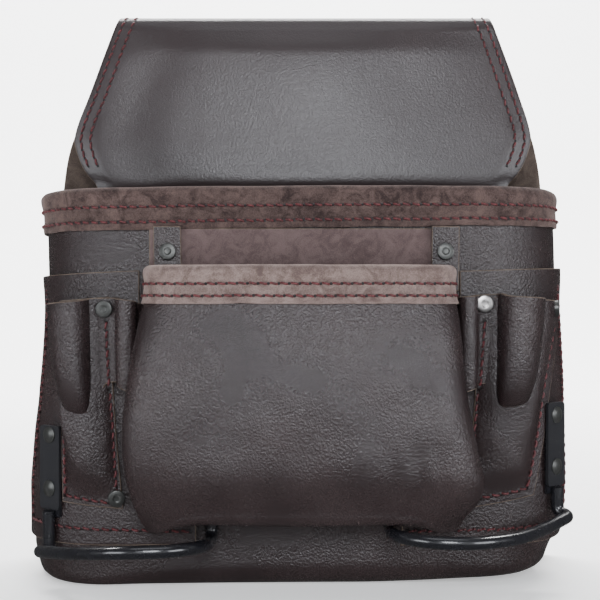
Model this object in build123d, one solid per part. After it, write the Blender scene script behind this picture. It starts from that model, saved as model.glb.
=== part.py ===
from build123d import *

import os
from math import asin, cos, degrees, radians, sin

# Leather tool pouch that hangs from a belt. Millimetres, +Z up, the front faces -Y.
# Depths are counted forward from the rear face of the back panel, and y_at turns one into Y.
# The origin is the middle of the box round the whole pouch, at its base.

# --- leather and steel stock ---
LEATHER = 2.4
SUEDE = 1.6
POCKET_LEATHER = 2.2
TUBE_WALL = 2.0
WIRE_RADIUS = 3.175
TAB_THICKNESS = 1.6
PLATE_THICKNESS = 1.5

# --- main pouch ---
FRONT_DEPTH = 80.0
CORNER_RADIUS = 45.0
HALF_WIDTH_LOW = 144.0
HALF_WIDTH_MOUTH = 138.0
WAIST_Z = 100.0
MOUTH_Z = 205.0
LOWER_CORNER_RADIUS = 20.0
LOWER_FRONT_RADIUS = 8.0
BINDING_LOW_Z = 183.0
BINDING_ROLL = 1.9

# --- back panel and the belt tunnel folded from it ---
FOLD_OUTER_RADIUS = 7.5
TUNNEL_TOP_Z = 308.0
TUNNEL_HALF_WIDTH_TOP = 105.0
TUNNEL_SHOULDER_Z = 236.0
TUNNEL_SHOULDER_HALF_WIDTH = 133.5
FRONT_PLY_HALF_WIDTH = 129.0
FRONT_PLY_FOOT_HALF_WIDTH = 112.0
FRONT_PLY_BEND_Z = 236.0
FRONT_PLY_SEAM_Z = 210.0
FRONT_PLY_END_Z = 186.0

# --- front pocket, its suede backing and its two straps ---
BACKING_HALF_WIDTH = 77.0
BACKING_FOOT_HALF_WIDTH = 70.0
BACKING_KNEE_Z = 150.0
BACKING_FOOT_Z = 92.0
BACKING_STAND_OFF = 8.5
POCKET_LOW_Z = 37.0
POCKET_TOP_Z = 165.0
POCKET_BELLY_Z = 66.0
POCKET_WAIST_Z = 104.0
POCKET_FOOT_HALF_WIDTH = 75.0
POCKET_BELLY_HALF_WIDTH = 89.0
POCKET_WAIST_HALF_WIDTH = 84.0
POCKET_MOUTH_HALF_WIDTH = 80.0
POCKET_CHEEK_HALF_WIDTH = 79.5
POCKET_CHEEK_DEPTH = 93.0
POCKET_FLARE_DEPTH = 106.0
POCKET_TOP_DEPTH = 117.0
POCKET_BELLY_DEPTH = 124.0
POCKET_FOOT_DEPTH = 116.0
POCKET_CORNER_RADIUS = 14.0
POCKET_BINDING_LOW_Z = 146.0
STRAP_WIDTH = 14.2
STRAP_LOW_Z = 152.0
STRAP_XS = (-67.5, 74.0)
STRAP_RIVET_Z = 171.5

# --- side pockets, plier pockets and tool tubes ---
SIDE_POCKET_LOW_Z = 22.0
SIDE_POCKET_STEP_Z = 36.0
SIDE_POCKET_TOP_Z = 162.0
SIDE_POCKET_INNER_X = 82.0
SIDE_POCKET_TOE_X = 53.0
SIDE_POCKET_REAR_DEPTH = 30.0
PLIER_TOP_Z = 152.0
PLIER_LOW_Z = 42.0
TUBE_RADIUS = 12.0
TUBE_LOW_Z = 91.0
TUBE_TOP_Z = 146.0
SMALL_TUBE_LOW_Z = 97.0
FLANGE_INNER_X = 79.0

# --- rivets ---
SHANK_RADIUS = 1.8
HEAD_RADIUS = 4.3
HEAD_RIM = 0.5
HEAD_HEIGHT = 1.7
BURR_THICKNESS = 1.1
PEEN_HEIGHT = 0.7
PEEN_RADIUS = 2.6
HEAD_SEAT = 0.25

# --- hammer loops and the plates that hold them ---
PLATE_WIDTH = 14.4
PLATE_HEIGHT = 43.0
TAB_WIDTH = 12.0
PLATE_CORNER = 2.0
INNER_LEG_X = 45.0
LEG_OVERLAP = 4.0
LEG_CLEARANCE = 0.3
BEND_SHARE = 0.45

OUT_LEFT = -1
OUT_RIGHT = 1
REACH = 400.0
OVERRUN = 1.0
PICK_TOLERANCE = 0.01

# Total depth: the front of the hammer loops' wire stands furthest forward.
LOOP_FRONT_DEPTH = 125.5
TOTAL_DEPTH = LOOP_FRONT_DEPTH + WIRE_RADIUS
Y_BACK = TOTAL_DEPTH / 2

# Per side: how far round the corner each part sits (degrees from straight ahead), the heights
# and the plan of the loop's wire as (x outward, depth, z).
SIDES = {
    "left": {
        "out": OUT_LEFT,
        "plate_angle": 37.0,
        "plate_low_z": 39.3,
        "plate_rivet_zs": (77.4, 49.9),
        "tube_angle": 17.0,
        "small_tube_x": 88.0,
        "small_tube_radius": 6.2,
        "plier": [(121, PLIER_TOP_Z), (119.5, 80), (119, PLIER_LOW_Z), (90, PLIER_LOW_Z),
                  (95, 90), (97.5, PLIER_TOP_Z)],
        "pocket_rivets": [(99.0, 141.0, "tube"), (93.0, 46.5, "plier")],
        "loop": [(134.0, 79.0, 18.3), (124.0, 94.0, 20.7), (106.0, 113.0, 24.2),
                 (84.0, LOOP_FRONT_DEPTH, 27.2), (62.0, 124.3, 27.6), (47.0, 110.0, 26.8)],
        "loop_foot_zs": (17.0, 25.0),
    },
    "right": {
        "out": OUT_RIGHT,
        "plate_angle": 42.5,
        "plate_low_z": 51.0,
        "plate_rivet_zs": (87.5, 60.8),
        "tube_angle": 13.5,
        "small_tube_x": 85.8,
        "small_tube_radius": 5.2,
        "plier": [(133, PLIER_TOP_Z), (128, 104), (124, 76), (118.5, PLIER_LOW_Z + 3),
                  (88, PLIER_LOW_Z), (89, 76), (94, PLIER_TOP_Z)],
        "pocket_rivets": [(95.4, 141.5, "tube"), (131.0, 141.0, "plier")],
        "loop": [(138.5, 77.0, 36.0), (125.0, 91.0, 33.0), (107.5, 111.5, 31.3),
                 (84.0, LOOP_FRONT_DEPTH, 31.5), (62.0, LOOP_FRONT_DEPTH, 32.0), (45.5, 111.0, 32.3)],
        "loop_foot_zs": (37.5, 32.5),
    },
}


def y_at(depth):
    """Y of a point that is depth in front of the back panel's rear face."""
    return Y_BACK - depth


def half_width(z):
    """Half the pouch's width at height z: straight up to the waist, then narrowing to the mouth."""
    rise = max(0.0, z - WAIST_Z) / (MOUTH_Z - WAIST_Z)
    return HALF_WIDTH_LOW + (HALF_WIDTH_MOUTH - HALF_WIDTH_LOW) * rise


def corner_x(z):
    """How far the middle of the corner's arc is from the centre line at height z."""
    return half_width(z) - CORNER_RADIUS


def front_prism(points):
    """A block whose outline, seen from the front, is the (x, z) points."""
    return extrude(Plane.XZ * make_face(Polyline(*points, close=True)), amount=REACH, both=True)


def plan_prism(points):
    """A block whose outline, seen from above, is the (x, depth) points."""
    outline = Polyline(*[(x, y_at(depth)) for x, depth in points], close=True)
    return extrude(make_face(outline), amount=REACH)


def side_prism(points):
    """A block whose outline, seen from the side, is the (depth, z) points."""
    outline = Polyline(*[(y_at(depth), z) for depth, z in points], close=True)
    return extrude(Plane.YZ * make_face(outline), amount=REACH, both=True)


def between(low, high):
    """Everything between two heights."""
    return Pos(0, 0, low) * Box(
        2 * REACH, REACH, high - low, align=(Align.CENTER, Align.CENTER, Align.MIN))


def round_edges_along(axis, block, z, radius):
    """The block with its edges along the axis at height z rounded."""
    edges = block.edges().filter_by(axis).filter_by_position(Axis.Z, z - PICK_TOLERANCE, z + PICK_TOLERANCE)
    return fillet(edges, radius)


def d_section(offset, z, rear):
    """The pouch's D-shaped plan at height z, grown outwards by offset."""
    half = half_width(z) + offset
    front = FRONT_DEPTH + offset
    bend = CORNER_RADIUS + offset
    straight_x = half - bend
    side_depth = front - bend
    diagonal = bend * cos(radians(45))
    corners = {}
    for out in (OUT_LEFT, OUT_RIGHT):
        corners[out] = [
            (out * half, y_at(rear)),
            (out * half, y_at(side_depth)),
            (out * (straight_x + diagonal), y_at(side_depth + diagonal)),
            (out * straight_x, y_at(front)),
        ]
    left, right = corners[OUT_LEFT], corners[OUT_RIGHT]
    outline = [
        Line(left[0], left[1]),
        ThreePointArc(left[1], left[2], left[3]),
        Line(left[3], right[3]),
        ThreePointArc(right[3], right[2], right[1]),
        Line(right[1], right[0]),
        Line(right[0], left[0]),
    ]
    return Pos(0, 0, z) * make_face(outline)


def pouch_block(offset, low, high, rear=LEATHER):
    """The pouch's outer form grown by offset, from height low to high, as a full block."""
    waist = d_section(offset, WAIST_Z, rear)
    block = None
    if low < WAIST_Z:
        section = d_section(offset, low, rear)
        block = extrude(section, amount=WAIST_Z - low, dir=(0, 0, 1))
    if high > WAIST_Z:
        start = waist if low < WAIST_Z else d_section(offset, low, rear)
        upper = loft([start, d_section(offset, high, rear)], ruled=True)
        block = upper if block is None else block + upper
    return block


def skin(inner, outer, low, high, rear=LEATHER):
    """A layer of leather that follows the pouch's wall between two offsets."""
    hollow = pouch_block(inner, low - OVERRUN, high + OVERRUN, rear - OVERRUN)
    return pouch_block(outer, low, high, rear) - hollow


def wall_place(x, z, stack):
    """Location on the wall under the point x of a surface that lies stack out from the wall."""
    out = OUT_LEFT if x < 0 else OUT_RIGHT
    past_corner = max(0.0, abs(x) - corner_x(z))
    angle = asin(past_corner / (CORNER_RADIUS + stack))
    return angle_place(out, degrees(angle), z, 0, front_x=x)


def angle_place(out, angle_deg, z, offset, front_x=None):
    """Location offset out from the corner, angle_deg round it from straight ahead.

    Its own Z points away from the pouch. At angle 0, front_x places it along the flat front.
    """
    angle = radians(angle_deg)
    normal = (out * sin(angle), -cos(angle), 0)
    reach = CORNER_RADIUS + offset
    x = out * (corner_x(z) + reach * sin(angle))
    if front_x is not None and abs(front_x) <= corner_x(z):
        x = front_x
    y = y_at(FRONT_DEPTH - CORNER_RADIUS + reach * cos(angle))
    across = (cos(angle), out * sin(angle), 0)
    return Plane(origin=(x, y, z), x_dir=across, z_dir=normal).location


# --- rivets ---

def rivet_parts(place, stack):
    """A rivet through a stack of layers on the wall: (headed rivet, its burr inside, its hole)."""
    inside = LEATHER + BURR_THICKNESS
    shank = Cylinder(SHANK_RADIUS, inside + stack, align=(Align.CENTER, Align.CENTER, Align.MIN))
    shank = Pos(0, 0, -inside) * shank
    dome_rise = HEAD_HEIGHT - HEAD_RIM
    dome_radius = (HEAD_RADIUS**2 + dome_rise**2) / (2 * dome_rise)
    rim = Cylinder(HEAD_RADIUS, HEAD_HEIGHT, align=(Align.CENTER, Align.CENTER, Align.MIN))
    dome = Pos(0, 0, HEAD_HEIGHT - dome_radius) * Sphere(dome_radius)
    head = Pos(0, 0, stack) * (rim & dome)
    peen = Cylinder(PEEN_RADIUS, PEEN_HEIGHT, align=(Align.CENTER, Align.CENTER, Align.MAX))
    peen = Pos(0, 0, -inside) * peen
    burr = Cylinder(HEAD_RADIUS, BURR_THICKNESS, align=(Align.CENTER, Align.CENTER, Align.MIN))
    burr = Pos(0, 0, -inside) * burr
    burr -= shank
    return place * (head + shank + peen), place * burr, place * shank


# --- the hammer loops ---

def loop_wire(side):
    """The bent wire with its two flattened ends, as one piece of steel."""
    out = side["out"]
    plate_low = side["plate_low_z"]
    tab_length = PLATE_HEIGHT - PLATE_CORNER
    leg_reach = WIRE_RADIUS + LEG_CLEARANCE
    outer_leg = angle_place(out, side["plate_angle"], plate_low, POCKET_LEATHER + leg_reach)
    inner_leg = angle_place(out, 0, plate_low, leg_reach, front_x=out * INNER_LEG_X)
    outer_foot_z, inner_foot_z = side["loop_foot_zs"]
    leg_top = plate_low - OVERRUN
    outer = outer_leg.position
    inner = inner_leg.position
    points = [(outer.X, outer.Y, leg_top), (outer.X, outer.Y, outer_foot_z)]
    points += [(out * x, y_at(depth), z) for x, depth, z in side["loop"]]
    points += [(inner.X, inner.Y, inner_foot_z), (inner.X, inner.Y, leg_top)]
    corners = [Vector(*point) for point in points]
    radii = []
    for before, here, after in zip(corners, corners[1:], corners[2:]):
        turn = radians((here - before).get_angle(after - here))
        run = min((here - before).length, (after - here).length)
        radii.append(BEND_SHARE * run / (sin(turn / 2) / cos(turn / 2)))
    path = FilletPolyline(*points, radius=radii)
    start = Plane(origin=points[0], z_dir=(0, 0, -1))
    wire = sweep(start * Circle(WIRE_RADIUS), path=path)
    tab = Box(TAB_WIDTH, tab_length, TAB_THICKNESS, align=(Align.CENTER, Align.MIN, Align.MIN))
    tab = Pos(0, -LEG_OVERLAP, 0) * tab
    outer_tab = angle_place(out, side["plate_angle"], plate_low, POCKET_LEATHER) * tab
    inner_tab = angle_place(out, 0, plate_low, 0, front_x=out * INNER_LEG_X) * tab
    return wire + outer_tab + inner_tab


def loop_plate(side, inner):
    """The riveted cover plate over one flattened end."""
    out = side["out"]
    if inner:
        place = angle_place(out, 0, side["plate_low_z"], TAB_THICKNESS, front_x=out * INNER_LEG_X)
    else:
        offset = POCKET_LEATHER + TAB_THICKNESS
        place = angle_place(out, side["plate_angle"], side["plate_low_z"], offset)
    blank = RectangleRounded(PLATE_WIDTH, PLATE_HEIGHT, PLATE_CORNER)
    return place * extrude(Pos(0, PLATE_HEIGHT / 2) * blank, amount=PLATE_THICKNESS)


# --- leather and suede ---

def make_back_panel():
    """Back panel and belt tunnel: one long piece that folds forward over the top."""
    fold_z = TUNNEL_TOP_Z - FOLD_OUTER_RADIUS
    front_outer = 2 * FOLD_OUTER_RADIUS
    front_inner = front_outer - LEATHER
    rear_ply = side_prism([(0, 0), (LEATHER, 0), (LEATHER, fold_z), (0, fold_z)])
    front_ply = side_prism([
        (front_inner, fold_z), (front_outer, fold_z), (front_outer, FRONT_PLY_BEND_Z),
        (2 * LEATHER, FRONT_PLY_SEAM_Z), (2 * LEATHER, FRONT_PLY_END_Z),
        (LEATHER, FRONT_PLY_END_Z), (LEATHER, FRONT_PLY_SEAM_Z), (front_inner, FRONT_PLY_BEND_Z),
    ])
    axis_line = Pos(0, y_at(FOLD_OUTER_RADIUS), fold_z) * Rot(0, 90, 0)
    fold = axis_line * Cylinder(FOLD_OUTER_RADIUS, 2 * REACH)
    fold -= axis_line * Cylinder(FOLD_OUTER_RADIUS - LEATHER, 2 * REACH)
    fold &= between(fold_z, fold_z + REACH)
    rear_points = [
        (HALF_WIDTH_LOW, 0), (HALF_WIDTH_LOW, WAIST_Z), (HALF_WIDTH_MOUTH, MOUTH_Z),
        (TUNNEL_SHOULDER_HALF_WIDTH, TUNNEL_SHOULDER_Z), (TUNNEL_HALF_WIDTH_TOP, TUNNEL_TOP_Z),
    ]
    front_points = [
        (FRONT_PLY_FOOT_HALF_WIDTH, FRONT_PLY_END_Z), (FRONT_PLY_FOOT_HALF_WIDTH, FRONT_PLY_SEAM_Z),
        (FRONT_PLY_HALF_WIDTH, FRONT_PLY_BEND_Z), (TUNNEL_HALF_WIDTH_TOP, TUNNEL_TOP_Z),
    ]
    rear = rear_ply & round_edges_along(Axis.Y, front_prism(both_sides(rear_points)), 0, LOWER_CORNER_RADIUS)
    front = (front_ply + fold) & front_prism(both_sides(front_points))
    return rear + front


def both_sides(right_points):
    """A closed outline from its right half, listed upwards."""
    return right_points + [(-x, z) for x, z in reversed(right_points)]


def rounded_base(offset):
    """Trims a pouch block to its rounded lower corners and lower front edge."""
    half = HALF_WIDTH_LOW + offset
    corners = front_prism(both_sides([(half, -offset), (half, REACH)]))
    corners = round_edges_along(Axis.Y, corners, -offset, LOWER_CORNER_RADIUS + offset)
    front = FRONT_DEPTH + offset
    edge = side_prism([(-REACH, -offset), (front, -offset), (front, REACH), (-REACH, REACH)])
    front_edge = edge.edges().filter_by(Axis.X).sort_by(Axis.Z)[:2].sort_by(Axis.Y)[0]
    return corners & fillet(front_edge, LOWER_FRONT_RADIUS + offset)


def make_front_panel():
    """Front, sides and bottom of the main pouch: one sewn shell, open at the mouth and the rear."""
    outer = pouch_block(0, 0, MOUTH_Z) & rounded_base(0)
    inner = pouch_block(-LEATHER, LEATHER, MOUTH_Z + OVERRUN, rear=-OVERRUN) & rounded_base(-LEATHER)
    return outer - inner


def make_mouth_binding(front_panel):
    """Suede strip folded over the mouth of the pouch."""
    top = MOUTH_Z + BINDING_ROLL
    band = pouch_block(SUEDE, BINDING_LOW_Z, top)
    band -= pouch_block(-LEATHER - SUEDE, BINDING_LOW_Z - OVERRUN, top + OVERRUN, rear=-OVERRUN)
    return band - front_panel


def backing_slab(near, far):
    """The slab between two layers over the backing's line: flat at the top, stood off below."""
    knee = FRONT_DEPTH
    foot = FRONT_DEPTH + BACKING_STAND_OFF
    return side_prism([
        (knee + near, BINDING_LOW_Z), (knee + far, BINDING_LOW_Z), (knee + far, BACKING_KNEE_Z),
        (foot + far, BACKING_FOOT_Z), (foot + far, POCKET_LOW_Z), (foot + near, POCKET_LOW_Z),
        (foot + near, BACKING_FOOT_Z), (knee + near, BACKING_KNEE_Z),
    ])


def make_backing():
    """Suede sheet that hangs from the mouth binding and closes the front pocket's rear."""
    outline = front_prism(both_sides([
        (BACKING_FOOT_HALF_WIDTH, POCKET_LOW_Z), (BACKING_HALF_WIDTH, POCKET_BELLY_Z),
        (BACKING_HALF_WIDTH, BINDING_LOW_Z),
    ]))
    return backing_slab(0, SUEDE) & outline


def make_strap(x):
    """Leather strap that ties the front pocket to the wall."""
    half = STRAP_WIDTH / 2
    outline = front_prism([
        (x - half, STRAP_LOW_Z), (x + half, STRAP_LOW_Z),
        (x + half, BINDING_LOW_Z), (x - half, BINDING_LOW_Z),
    ])
    return backing_slab(SUEDE, SUEDE + POCKET_LEATHER) & outline


def pocket_block(inset):
    """The front pocket's form, made smaller by inset, in front of its backing, with no top."""
    top = POCKET_TOP_Z + OVERRUN
    low = POCKET_LOW_Z + inset
    outline = front_prism(both_sides([
        (POCKET_FOOT_HALF_WIDTH - inset, low), (POCKET_BELLY_HALF_WIDTH - inset, POCKET_BELLY_Z),
        (POCKET_WAIST_HALF_WIDTH - inset, POCKET_WAIST_Z), (POCKET_MOUTH_HALF_WIDTH - inset, POCKET_TOP_Z),
        (POCKET_MOUTH_HALF_WIDTH - inset, top),
    ]))
    outline = round_edges_along(Axis.Y, outline, low, POCKET_CORNER_RADIUS - inset)
    rear = FRONT_DEPTH + SUEDE
    foot_rear = rear + BACKING_STAND_OFF
    plan = plan_prism(both_sides([
        (BACKING_HALF_WIDTH - inset, 0), (BACKING_HALF_WIDTH - inset, rear),
        (POCKET_CHEEK_HALF_WIDTH - inset, POCKET_CHEEK_DEPTH),
        (POCKET_BELLY_HALF_WIDTH - inset, POCKET_FLARE_DEPTH), (POCKET_BELLY_HALF_WIDTH - inset, REACH / 2),
    ]))
    profile = side_prism([
        (rear, top), (rear, BACKING_KNEE_Z), (foot_rear, BACKING_FOOT_Z), (foot_rear, low),
        (POCKET_FOOT_DEPTH - inset, low), (POCKET_BELLY_DEPTH - inset, POCKET_BELLY_Z),
        (POCKET_TOP_DEPTH - inset, POCKET_TOP_Z), (POCKET_TOP_DEPTH - inset, top),
    ])
    return outline & profile & plan


def make_front_pocket():
    """Front, sides and bottom of the front pocket: one sewn shell."""
    shell = pocket_block(0) - pocket_block(POCKET_LEATHER)
    return clear_of_straps(shell & between(0, POCKET_TOP_Z - BINDING_ROLL))


def make_pocket_binding(front_pocket):
    """Suede strip folded over the top edge of the front pocket."""
    band = pocket_block(-SUEDE) - pocket_block(POCKET_LEATHER + SUEDE)
    band &= between(POCKET_BINDING_LOW_Z, POCKET_TOP_Z)
    return clear_of_straps(band) - front_pocket


def clear_of_straps(shell):
    """The shell without the room that the straps take behind it."""
    for x in STRAP_XS:
        shell -= make_strap(x)
    return shell


def make_side_pocket(side):
    """Patch round the corner of the pouch that forms a flat side pocket."""
    out = side["out"]
    outline = [
        (SIDE_POCKET_TOE_X, SIDE_POCKET_LOW_Z), (SIDE_POCKET_TOE_X, SIDE_POCKET_STEP_Z),
        (SIDE_POCKET_INNER_X, SIDE_POCKET_STEP_Z), (SIDE_POCKET_INNER_X, SIDE_POCKET_TOP_Z),
        (REACH, SIDE_POCKET_TOP_Z), (REACH, SIDE_POCKET_LOW_Z),
    ]
    low, high = SIDE_POCKET_LOW_Z - OVERRUN, SIDE_POCKET_TOP_Z + OVERRUN
    layer = skin(0, POCKET_LEATHER, low, high, rear=SIDE_POCKET_REAR_DEPTH)
    return layer & front_prism([(out * x, z) for x, z in outline])


def make_plier_pocket(side):
    """Narrower pocket sewn over the side pocket."""
    low, high = PLIER_LOW_Z - OVERRUN, PLIER_TOP_Z + OVERRUN
    layer = skin(POCKET_LEATHER, 2 * POCKET_LEATHER, low, high, rear=SIDE_POCKET_REAR_DEPTH)
    return layer & front_prism([(side["out"] * x, z) for x, z in side["plier"]])


def make_tool_tubes(side):
    """One piece of leather curled into a wide and a narrow tube, with a flat between them."""
    out = side["out"]
    base = 2 * POCKET_LEATHER
    middle_z = (TUBE_LOW_Z + TUBE_TOP_Z) / 2
    wide = angle_place(out, side["tube_angle"], middle_z, base + TUBE_RADIUS).position
    small_radius = side["small_tube_radius"]
    small_x = out * side["small_tube_x"]
    narrow = angle_place(out, 0, middle_z, base + small_radius, front_x=small_x).position
    high_x = abs(wide.X) + TUBE_RADIUS
    flange = skin(base, base + TUBE_WALL, TUBE_LOW_Z, TUBE_TOP_Z, rear=SIDE_POCKET_REAR_DEPTH)
    flange &= front_prism([
        (out * FLANGE_INNER_X, SMALL_TUBE_LOW_Z), (out * FLANGE_INNER_X, TUBE_TOP_Z + OVERRUN),
        (out * high_x, TUBE_TOP_Z + OVERRUN), (out * high_x, TUBE_LOW_Z - OVERRUN),
    ])
    piece = flange
    bores = []
    upright = (Align.CENTER, Align.CENTER, Align.MIN)
    for centre, radius, low in ((wide, TUBE_RADIUS, TUBE_LOW_Z), (narrow, small_radius, SMALL_TUBE_LOW_Z)):
        height = TUBE_TOP_Z - low
        piece += Pos(centre.X, centre.Y, low) * Cylinder(radius, height, align=upright)
        bore = Cylinder(radius - TUBE_WALL, height, align=upright)
        bores.append(Pos(centre.X, centre.Y, low + TUBE_WALL) * bore)
    piece -= pouch_block(base, TUBE_LOW_Z - OVERRUN, TUBE_TOP_Z + OVERRUN)
    for bore in bores:
        piece -= bore
    return piece, wide, narrow


# --- build every piece ---

nodes = {}
burrs = []
holes = []


def add_rivets(name, places_and_stacks):
    """Rivets of one group in one node. Their burrs and holes are kept for the other pieces."""
    heads = []
    for place, stack in places_and_stacks:
        rivet, burr, hole = rivet_parts(place, stack)
        heads.append(rivet)
        burrs.append(burr - front_panel)
        holes.append(hole)
    nodes[name] = Compound(children=heads)


front_panel = make_front_panel()
nodes["front_panel"] = front_panel
nodes["back_panel"] = make_back_panel()
nodes["mouth_binding"] = make_mouth_binding(front_panel)
nodes["pocket_backing"] = make_backing()
nodes["pocket_strap_left"] = make_strap(STRAP_XS[0])
nodes["pocket_strap_right"] = make_strap(STRAP_XS[1])
nodes["front_pocket"] = make_front_pocket()
nodes["front_pocket_binding"] = make_pocket_binding(nodes["front_pocket"])

strap_stack = SUEDE + POCKET_LEATHER
add_rivets("strap_rivets", [(wall_place(x, STRAP_RIVET_Z, 0), strap_stack) for x in STRAP_XS])

# The wall leans back a little above its waist, so a pocket rivet's head sits just off the leather.
STACKS = {
    "plier": 2 * POCKET_LEATHER + HEAD_SEAT,
    "tube": 2 * POCKET_LEATHER + TUBE_WALL + HEAD_SEAT,
}
for name, side in SIDES.items():
    out = side["out"]
    nodes[f"side_pocket_{name}"] = make_side_pocket(side)
    nodes[f"plier_pocket_{name}"] = make_plier_pocket(side)
    tubes, wide, narrow = make_tool_tubes(side)
    nodes[f"tool_tubes_{name}"] = tubes
    for label, centre in (("wide", wide), ("narrow", narrow)):
        print(f"{name} {label} tube axis: x {centre.X:.1f}, y {centre.Y:.1f}")
    nodes[f"hammer_loop_{name}"] = loop_wire(side)
    nodes[f"loop_plate_{name}_outer"] = loop_plate(side, inner=False)
    nodes[f"loop_plate_{name}_inner"] = loop_plate(side, inner=True)
    add_rivets(
        f"pocket_rivets_{name}",
        [(wall_place(out * x, z, STACKS[kind]), STACKS[kind]) for x, z, kind in side["pocket_rivets"]],
    )
    plate_stack = TAB_THICKNESS + PLATE_THICKNESS
    outer_stack = POCKET_LEATHER + plate_stack
    places = [(angle_place(out, side["plate_angle"], z, 0), outer_stack) for z in side["plate_rivet_zs"]]
    places += [(angle_place(out, 0, z, 0, front_x=out * INNER_LEG_X), plate_stack)
               for z in side["plate_rivet_zs"]]
    add_rivets(f"plate_rivets_{name}", places)

nodes["rivet_burrs"] = Compound(children=burrs)

RIVETED = [name for name in nodes if "rivet" not in name]
for name in RIVETED:
    for hole in holes:
        nodes[name] -= hole

os.makedirs("parts", exist_ok=True)
for name, shape in nodes.items():
    export_step(shape, f"parts/{name}.step")
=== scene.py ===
# %% [markdown]
# # A leather tool pouch
# This notebook dresses the steel-and-leather layout of a belt pouch. The CAD model is loaded as a
# fixed frame first, because it already says where every layer, plate and rivet sits. Each soft
# piece is then laid over that frame the way a saddler would: cut flat, bent to shape, and sewn.

import math

import bpy
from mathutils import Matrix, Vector, noise


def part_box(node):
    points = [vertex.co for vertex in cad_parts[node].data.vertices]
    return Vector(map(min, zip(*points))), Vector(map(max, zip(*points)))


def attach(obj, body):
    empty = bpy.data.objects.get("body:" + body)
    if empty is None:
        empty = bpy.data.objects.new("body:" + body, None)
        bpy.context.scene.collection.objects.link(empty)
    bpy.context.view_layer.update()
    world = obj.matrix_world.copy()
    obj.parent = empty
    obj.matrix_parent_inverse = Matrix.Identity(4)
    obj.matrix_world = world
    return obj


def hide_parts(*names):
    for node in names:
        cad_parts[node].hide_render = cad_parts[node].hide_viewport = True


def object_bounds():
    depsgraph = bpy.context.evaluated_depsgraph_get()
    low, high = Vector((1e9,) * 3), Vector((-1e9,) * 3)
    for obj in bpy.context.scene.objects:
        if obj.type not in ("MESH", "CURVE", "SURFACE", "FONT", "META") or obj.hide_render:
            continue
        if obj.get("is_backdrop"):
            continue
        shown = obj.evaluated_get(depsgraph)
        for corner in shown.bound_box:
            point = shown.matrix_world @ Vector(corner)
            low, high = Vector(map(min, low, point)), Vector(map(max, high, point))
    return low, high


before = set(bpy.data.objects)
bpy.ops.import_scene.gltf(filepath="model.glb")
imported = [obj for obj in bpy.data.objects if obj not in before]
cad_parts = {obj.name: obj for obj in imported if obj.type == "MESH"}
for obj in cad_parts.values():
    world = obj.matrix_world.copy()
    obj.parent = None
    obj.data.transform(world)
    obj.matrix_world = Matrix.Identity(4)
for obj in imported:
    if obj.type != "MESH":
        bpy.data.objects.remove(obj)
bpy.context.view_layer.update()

# %% [markdown]
# ## One ruler for the whole pouch
# Leather work is measured from the back panel: how far forward a layer stands matters more than
# where it is in the world. So points are given as x, depth in front of the back panel, and height,
# all in millimetres, and one helper turns them into the frame's metres.

# %% Sizes read from the frame
MM = 0.001
REAR_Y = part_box("back_panel")[1].y
HALF_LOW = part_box("front_panel")[1].x / MM
HALF_MOUTH = 138.0
FRONT_DEPTH = (REAR_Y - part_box("front_panel")[0].y) / MM
MOUTH_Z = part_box("front_panel")[1].z / MM
TOP_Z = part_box("back_panel")[1].z / MM
CORNER = 45.0
WAIST_Z = 100.0
LEATHER = 2.4
POCKET_LEATHER = 2.2
SUEDE = 1.6


def spot(x, depth, z):
    """A point in the frame, from millimetres."""
    return Vector((x * MM, REAR_Y - depth * MM, z * MM))


def mix(a, b, t):
    """The value t of the way from a to b."""
    return a + (b - a) * t


def ease(low, high, value):
    """0 below low, 1 above high, and a soft step between."""
    t = min(1.0, max(0.0, (value - low) / (high - low)))
    return t * t * (3 - 2 * t)


def through(stations, at):
    """A smooth curve through (position, value) stations, read at a position."""
    if at <= stations[0][0]:
        return stations[0][1]
    if at >= stations[-1][0]:
        return stations[-1][1]
    i = max(k for k, (position, _) in enumerate(stations[:-1]) if position <= at)
    (p1, v1), (p2, v2) = stations[i], stations[i + 1]
    p0, v0 = stations[max(0, i - 1)]
    p3, v3 = stations[min(len(stations) - 1, i + 2)]
    t = (at - p1) / (p2 - p1)
    m1 = (v2 - v0) / (p2 - p0) * (p2 - p1)
    m2 = (v3 - v1) / (p3 - p1) * (p2 - p1)
    return (
        (2 * t**3 - 3 * t**2 + 1) * v1 + (t**3 - 2 * t**2 + t) * m1
        + (-2 * t**3 + 3 * t**2) * v2 + (t**3 - t**2) * m2
    )


def drift(a, b, size, seed):
    """Slow, repeatable unevenness of hand-cut leather, from -1 to 1."""
    return noise.noise(Vector((a / size, b / size, seed * 7.3)))


print("pouch", round(HALF_LOW * 2), "mm wide,", round(TOP_Z), "mm high, wall at", round(FRONT_DEPTH, 1))

# %% [markdown]
# ## The wall of the main pouch
# Seen from above the pouch is a D: a flat front, two generous corners and straight sides that meet
# the back panel. Every pocket on it follows that wall, so the wall is written once as a function of
# the run round it and the height, with a lift that says how many layers lie underneath.

# %% The wall
TUCK = {
    -1: [(0, 5.5), (3, 3.6), (10, 1.3), (17, 0)],
    1: [(0, 13.5), (3, 12.1), (10, 10), (16, 7.8), (23, 4.6), (30, 3), (42, 2), (60, 1), (100, 1)],
}
SAG_IN = {
    -1: [(50, 0), (62, 1), (78, 2.2), (97, 4.4), (122, 5.4), (147, 4.6), (165, 3), (185, 1.6), (200, 0)],
    1: [(42, 0), (70, 1.2), (147, 1), (165, 0.4), (200, 0)],
}
BASE_ROUND = [(-200, 6), (-150, 3.5), (-122, 3), (-80, 9), (0, 13), (80, 12), (130, 8), (200, 9)]
WALL_RUN = HALF_LOW - CORNER + CORNER * math.pi / 2 + FRONT_DEPTH - CORNER - LEATHER


def half_width(z, side):
    """The pouch's width to one side: straight to the waist, then narrowing, and sagging in a little."""
    rise = max(0.0, z - WAIST_Z) / (MOUTH_Z - WAIST_Z)
    return mix(HALF_LOW, HALF_MOUTH, rise) - through(SAG_IN[side], z)


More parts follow.
